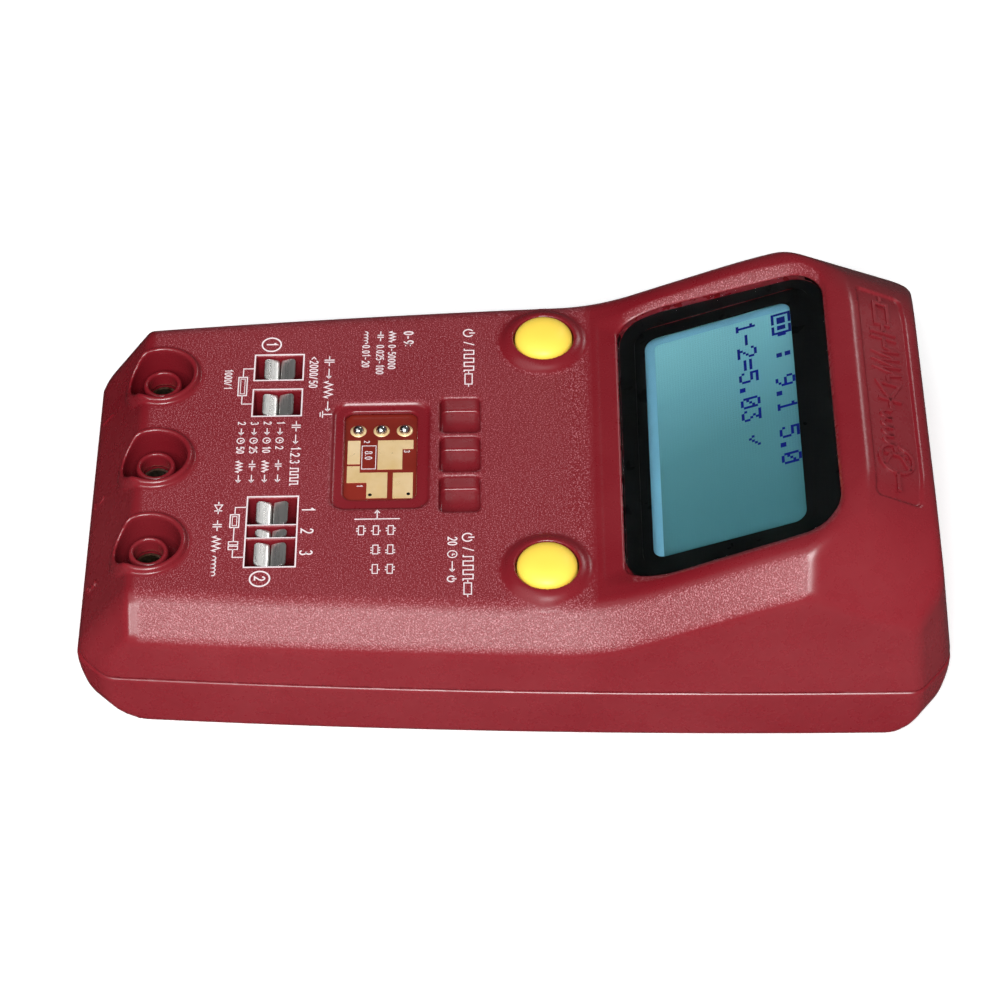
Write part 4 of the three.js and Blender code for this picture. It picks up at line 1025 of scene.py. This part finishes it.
def text_blocks():
    """Generic symbols and numerals that fill the places of the printed notes."""
    for name, x in (("left", -29.4), ("right", 17.5)):
        marks = power_symbol(x + 1.2, -6.9) + wires([(x + 3.4, -7.7), (x + 4.1, -5.9)]) + pulse(x + 5.0, -7.6, 0.95, 1.6, 3)
        marks += resistor(x + 12.2, -6.85, 1.2, 0.6) + wires([(x + 10.4, -6.85), (x + 11.0, -6.85)], [(x + 13.4, -6.85), (x + 14.0, -6.85)])
        print_group(f"power_marks_{name}", marks, slot="black_print")
    print_group("auto_off_marks", numerals("20", 18.6, -10.1, 1.5, 0.2) + clock(22.3, -9.35) + arrow(23.8, 26.0, -9.35)
                + power_symbol(27.6, -9.5, 0.6), slot="black_print")
    print_group("range_heading", numerals("0-9:", -28.8, -17.9, 1.6, 0.24), slot="black_print")
    rows = zigzag(-28.9, -19.85, 2.6, 0.9) + numerals("0-50000", -25.6, -20.5, 1.25, 0.17)
    rows += capacitor(-28.0, -21.85, 1.1) + numerals("0.025-100", -25.6, -22.5, 1.25, 0.17)
    rows += coil(-28.9, -24.5, 4, 0.36) + numerals("0.01-20", -25.6, -24.9, 1.25, 0.17)
    print_group("range_rows", rows, slot="black_print")
    heading = capacitor(-22.2, -30.4, 1.7) + arrow(-20.1, -17.9, -30.4) + zigzag(-17.2, -30.4, 4.0, 1.3) + arrow(-12.4, -10.2, -30.4)
    heading += wires([(-9.4, -29.6), (-9.4, -31.2)], [(-10.2, -31.2), (-8.6, -31.2)], [(-9.9, -31.6), (-8.9, -31.6)])
    heading += numerals("<2000/50", -23.0, -33.7, 1.4, 0.18)
    print_group("discharge_marks", heading, slot="black_print")
    print_group("discharge_value", numerals("1000/1", -20.3, -48.0, 1.25, 0.17), slot="black_print")
    steps = capacitor(-7.0, -35.5, 1.5) + arrow(-4.8, -2.8, -35.5) + numerals("1.2.3", -2.0, -36.2, 1.5, 0.2) + pulse(2.6, -36.1, 0.7, 1.3, 3)
    for i, (a, b) in enumerate((("1", "2"), ("2", "10"), ("3", "25"), ("2", "50"))):
        y = -38.15 - 2.15 * i
        steps += numerals(a, -7.9, y - 0.6, 1.25, 0.17) + arrow(-6.4, -5.0, y) + clock(-3.6, y, 0.6)
        steps += numerals(b, -2.2, y - 0.6, 1.25, 0.17) + (zigzag(1.0, y, 2.6, 0.9) if i % 2 else capacitor(1.8, y, 1.1))
        steps += arrow(4.2, 5.8, y)
    print_group("step_marks", steps, slot="black_print")
    kinds = diode(10.8, -47.5) + capacitor(15.1, -47.5, 1.5) + zigzag(17.6, -47.5, 3.4, 1.2) + coil(22.0, -47.9, 5, 0.42)
    print_group("device_marks", kinds, slot="black_print")
    small = []
    for i, (y, count) in enumerate(((-19.35, 3), (-21.75, 3), (-24.15, 1))):
        for j in range(count):
            x = 15.9 + j * 4.2
            small += [stroke("", rect_path(x, x + 1.9, y - 0.42, y + 0.42), 0.15, closed=True)]
            for k in range(1 + (i + j) % 2, 3 + (j % 2)):
                small += wires([(x + 0.55 * k, y + 0.42), (x + 0.55 * k, y + 0.8)], [(x + 0.55 * k, y - 0.42), (x + 0.55 * k, y - 0.8)])
    small += wires([(14.4, -25.3), (14.4, -17.9)], [(14.4, -21.6), (12.6, -21.6)], [(13.1, -21.2), (12.5, -21.6), (13.1, -22.0)])
    print_group("chip_marks", small, slot="black_print")


text_blocks()


def board_marks():
    z = BOARD_TOP + 0.08
    marks = numerals("2", -4.6, -24.2, 0.9, 0.12, z=z) + numerals("3", -2.3, -17.5, 0.9, 0.12, z=z) + numerals("1", 5.4, -25.2, 0.9, 0.12, z=z)
    marks += [stroke("", rect_path(-3.45, 1.8, -24.5, -22.2), 0.12, closed=True, z=z)] + numerals("8.0", -2.2, -24.0, 1.2, 0.14, z=z)
    print_group("test_board_marks", marks, slot="black_print")


board_marks()


# ---------------------------------------------------------------- moulded marks on the end slopes
def on_display_slope(x, t, n):
    """A point on the sunk end panel: t down the slope from the ridge, n out of it."""
    return (x, 56.45 + t * 0.918 + n * 0.397, 40.5 - t * 0.397 + n * 0.918)


def on_socket_slope(x, t, n):
    """A point on the socket-end slope: t up it from the seam end, n out of it."""
    return (x, -70.6 + t * 0.579 - n * 0.815, 12.2 + t * 0.815 + n * 0.579)


def moulded(name, strokes):
    obj = print_group(name, strokes, "case", slot="shell_plastic")
    layer = obj.data.attributes.new("stipple_and_glints", "FLOAT", "POINT")
    layer.data.foreach_set("value", [0.0] * len(obj.data.vertices))
    bevelled(obj, 0.06, 2)


def panel_marks():
    """Raised schematic symbols in one row along the end panel."""
    z, thick, width = -0.45, 0.4, 0.62
    place = lambda x, t, n: on_display_slope(x, 9.4 - t, n)
    rows = []

    def line(path, closed=False):
        rows.append(stroke("", path, width, z=z, thick=thick, closed=closed, place=place))

    mid, tall = 3.6, 2.4
    line([(-22.0, mid), (-20.4, mid)])
    line(rect_path(-20.4, -15.6, mid - 1.2, mid + 1.2), True)
    line([(-15.6, mid), (-13.6, mid)])
    line([(-13.6, mid - tall), (-13.6, mid + tall)])
    line([(-12.3, mid - tall), (-12.3, mid + tall)])
    line([(-12.3, mid), (-10.2, mid)])
    line([(-10.2, mid)] + [(-9.6 + i * 0.9, mid + (1.9 if i % 2 else -1.9)) for i in range(7)] + [(-3.6, mid)])
    line([(-3.6, mid), (-1.8, mid)])
    line([(-1.8, mid - 2.0), (1.8, mid), (-1.8, mid + 2.0)], True)
    line([(1.8, mid - 2.1), (1.8, mid + 2.1)])
    line([(1.8, mid), (4.4, mid)])
    for i in range(4):
        line(ring_path(5.3 + 1.9 * i, mid, 0.95, 1.9, 9, 180, 0))
    line([(12.0, mid), (14.0, mid)])
    line([(14.0, mid - 2.1), (14.0, mid + 2.1)])
    line([(14.0, mid + 0.8), (17.0, mid + 2.4)])
    line([(14.0, mid - 0.8), (17.0, mid - 2.4)])
    line(ring_path(15.0, mid, 3.0, 3.0, 28), True)
    line([(18.0, mid), (22.0, mid)])
    moulded("panel_symbols", rows)


panel_marks()
for number, jack_x in enumerate(JACKS):
    run = numerals(str(number + 1), jack_x - 0.6, 1.6, 3.0, 0.34, place=on_socket_slope, z=-0.15, thick=0.32)
    moulded(f"jack_number_{number + 1}", run)


# ---------------------------------------------------------------- battery leads
def catmull(points, count=26):
    """The same centripetal curve as the CAD lead follows."""
    p = [Vector(q) for q in points]
    p = [p[0] * 2 - p[1]] + p + [p[-1] * 2 - p[-2]]
    out, spans = [], len(points) - 1
    for n in range(count):
        t = n / (count - 1) * spans
        i = min(int(t), spans - 1)
        u = t - i
        a, b, c, d = p[i:i + 4]
        ab, bc, cd = ((b - a).length ** 0.5, (c - b).length ** 0.5, (d - c).length ** 0.5)
        m1 = (b - a) / ab - (c - a) / (ab + bc) + (c - b) / bc
        m2 = (c - b) / bc - (d - b) / (bc + cd) + (d - c) / cd
        m1, m2 = m1 * bc, m2 * bc
        out.append(b * (2 * u ** 3 - 3 * u ** 2 + 1) + m1 * (u ** 3 - 2 * u ** 2 + u)
                   + c * (-2 * u ** 3 + 3 * u ** 2) + m2 * (u ** 3 - u ** 2))
    return out


def lead(name, node, points, look):
    path = catmull(points)
    curve = bpy.data.curves.new(name, "CURVE")
    curve.dimensions = "3D"
    curve.bevel_depth = 0.72 * MM
    curve.bevel_resolution = 5
    curve.use_fill_caps = True
    spline = curve.splines.new("POLY")
    spline.points.add(len(path) - 1)
    for spot, at in zip(spline.points, path):
        spot.co = (*(at * MM), 1.0)
    curve.materials.append(LOOKS[look])
    obj = bpy.data.objects.new(name, curve)
    bpy.context.scene.collection.objects.link(obj)
    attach(obj, "case")
    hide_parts(node)


X_OUT, Y_OUT, Y_BOARD = 26.55, 37.2, 19.05
lead("lead_red", "battery_lead_red", [
    (X_OUT, Y_OUT, 14), (X_OUT + 0.6, Y_OUT - 6, 13.4), (X_OUT - 1, Y_OUT - 13, 11.6),
    (X_OUT - 5, Y_OUT - 18, 10.4), (X_OUT - 9, Y_BOARD, 11.6), (X_OUT - 9.6, Y_BOARD, 14.6)], "red_wire")
lead("lead_black", "battery_lead_black", [
    (X_OUT, Y_OUT, 9), (X_OUT + 0.6, Y_OUT - 7, 8.4), (X_OUT - 2, Y_OUT - 14, 7.4),
    (X_OUT - 9, Y_OUT - 19, 7.6), (X_OUT - 13, Y_BOARD, 10.6), (X_OUT - 13.4, Y_BOARD, 14.6)], "black_wire")


# ---------------------------------------------------------------- studio
def studio():
    scene = bpy.context.scene
    scene.view_settings.view_transform = "Standard"
    scene.view_settings.look = "None"
    world = bpy.data.worlds.new("studio")
    scene.world = world
    world.use_nodes = True
    sky = world.node_tree
    parts = sky.nodes.new("ShaderNodeSeparateXYZ")
    sky.links.new(sky.nodes.new("ShaderNodeTexCoord").outputs["Generated"], parts.inputs[0])
    shade = sky.nodes.new("ShaderNodeMapRange")
    shade.interpolation_type = "SMOOTHSTEP"
    sky.links.new(parts.outputs["Y"], shade.inputs["Value"])
    for socket, value in (("From Min", -0.75), ("From Max", 0.45), ("To Min", 0.08), ("To Max", 1.5)):
        shade.inputs[socket].default_value = value
    sky.links.new(shade.outputs["Result"], sky.nodes["Background"].inputs["Strength"])
    floor = bpy.data.meshes.new("floor")
    floor.from_pydata([(-4, -4, 0), (4, -4, 0), (4, 4, 0), (-4, 4, 0)], [], [(0, 1, 2, 3)])
    material = bpy.data.materials.new("floor")
    material.use_nodes = True
    shader = material.node_tree.nodes["Principled BSDF"]
    shader.inputs["Base Color"].default_value = (0.97, 0.97, 0.97, 1.0)
    shader.inputs["Roughness"].default_value = 0.8
    shader.inputs["Emission Color"].default_value = (1.0, 1.0, 1.0, 1.0)
    shader.inputs["Emission Strength"].default_value = 0.22
    floor.materials.append(material)
    ground = bpy.data.objects.new("floor", floor)
    ground.location.z = -0.00002
    scene.collection.objects.link(ground)
    ground.visible_glossy = False
    for name, at, size, power in (
        ("key", (0.75, 0.02, 0.85), 0.42, 15.0),
        ("fill", (0.2, -0.5, 1.1), 0.8, 2.0),
        ("side", (0.74, -0.47, 0.73), 0.25, 3.2),
        ("back", (-0.68, 0.44, 0.60), 0.2, 0.8),
    ):
        data = bpy.data.lights.new(name, "AREA")
        data.shape = "SQUARE"
        data.size = size
        data.energy = power
        light = bpy.data.objects.new(name, data)
        light.location = at
        light.rotation_euler = (Vector(at) - Vector((0, 0, 0.02))).to_track_quat("Z", "Y").to_euler()
        scene.collection.objects.link(light)


studio()
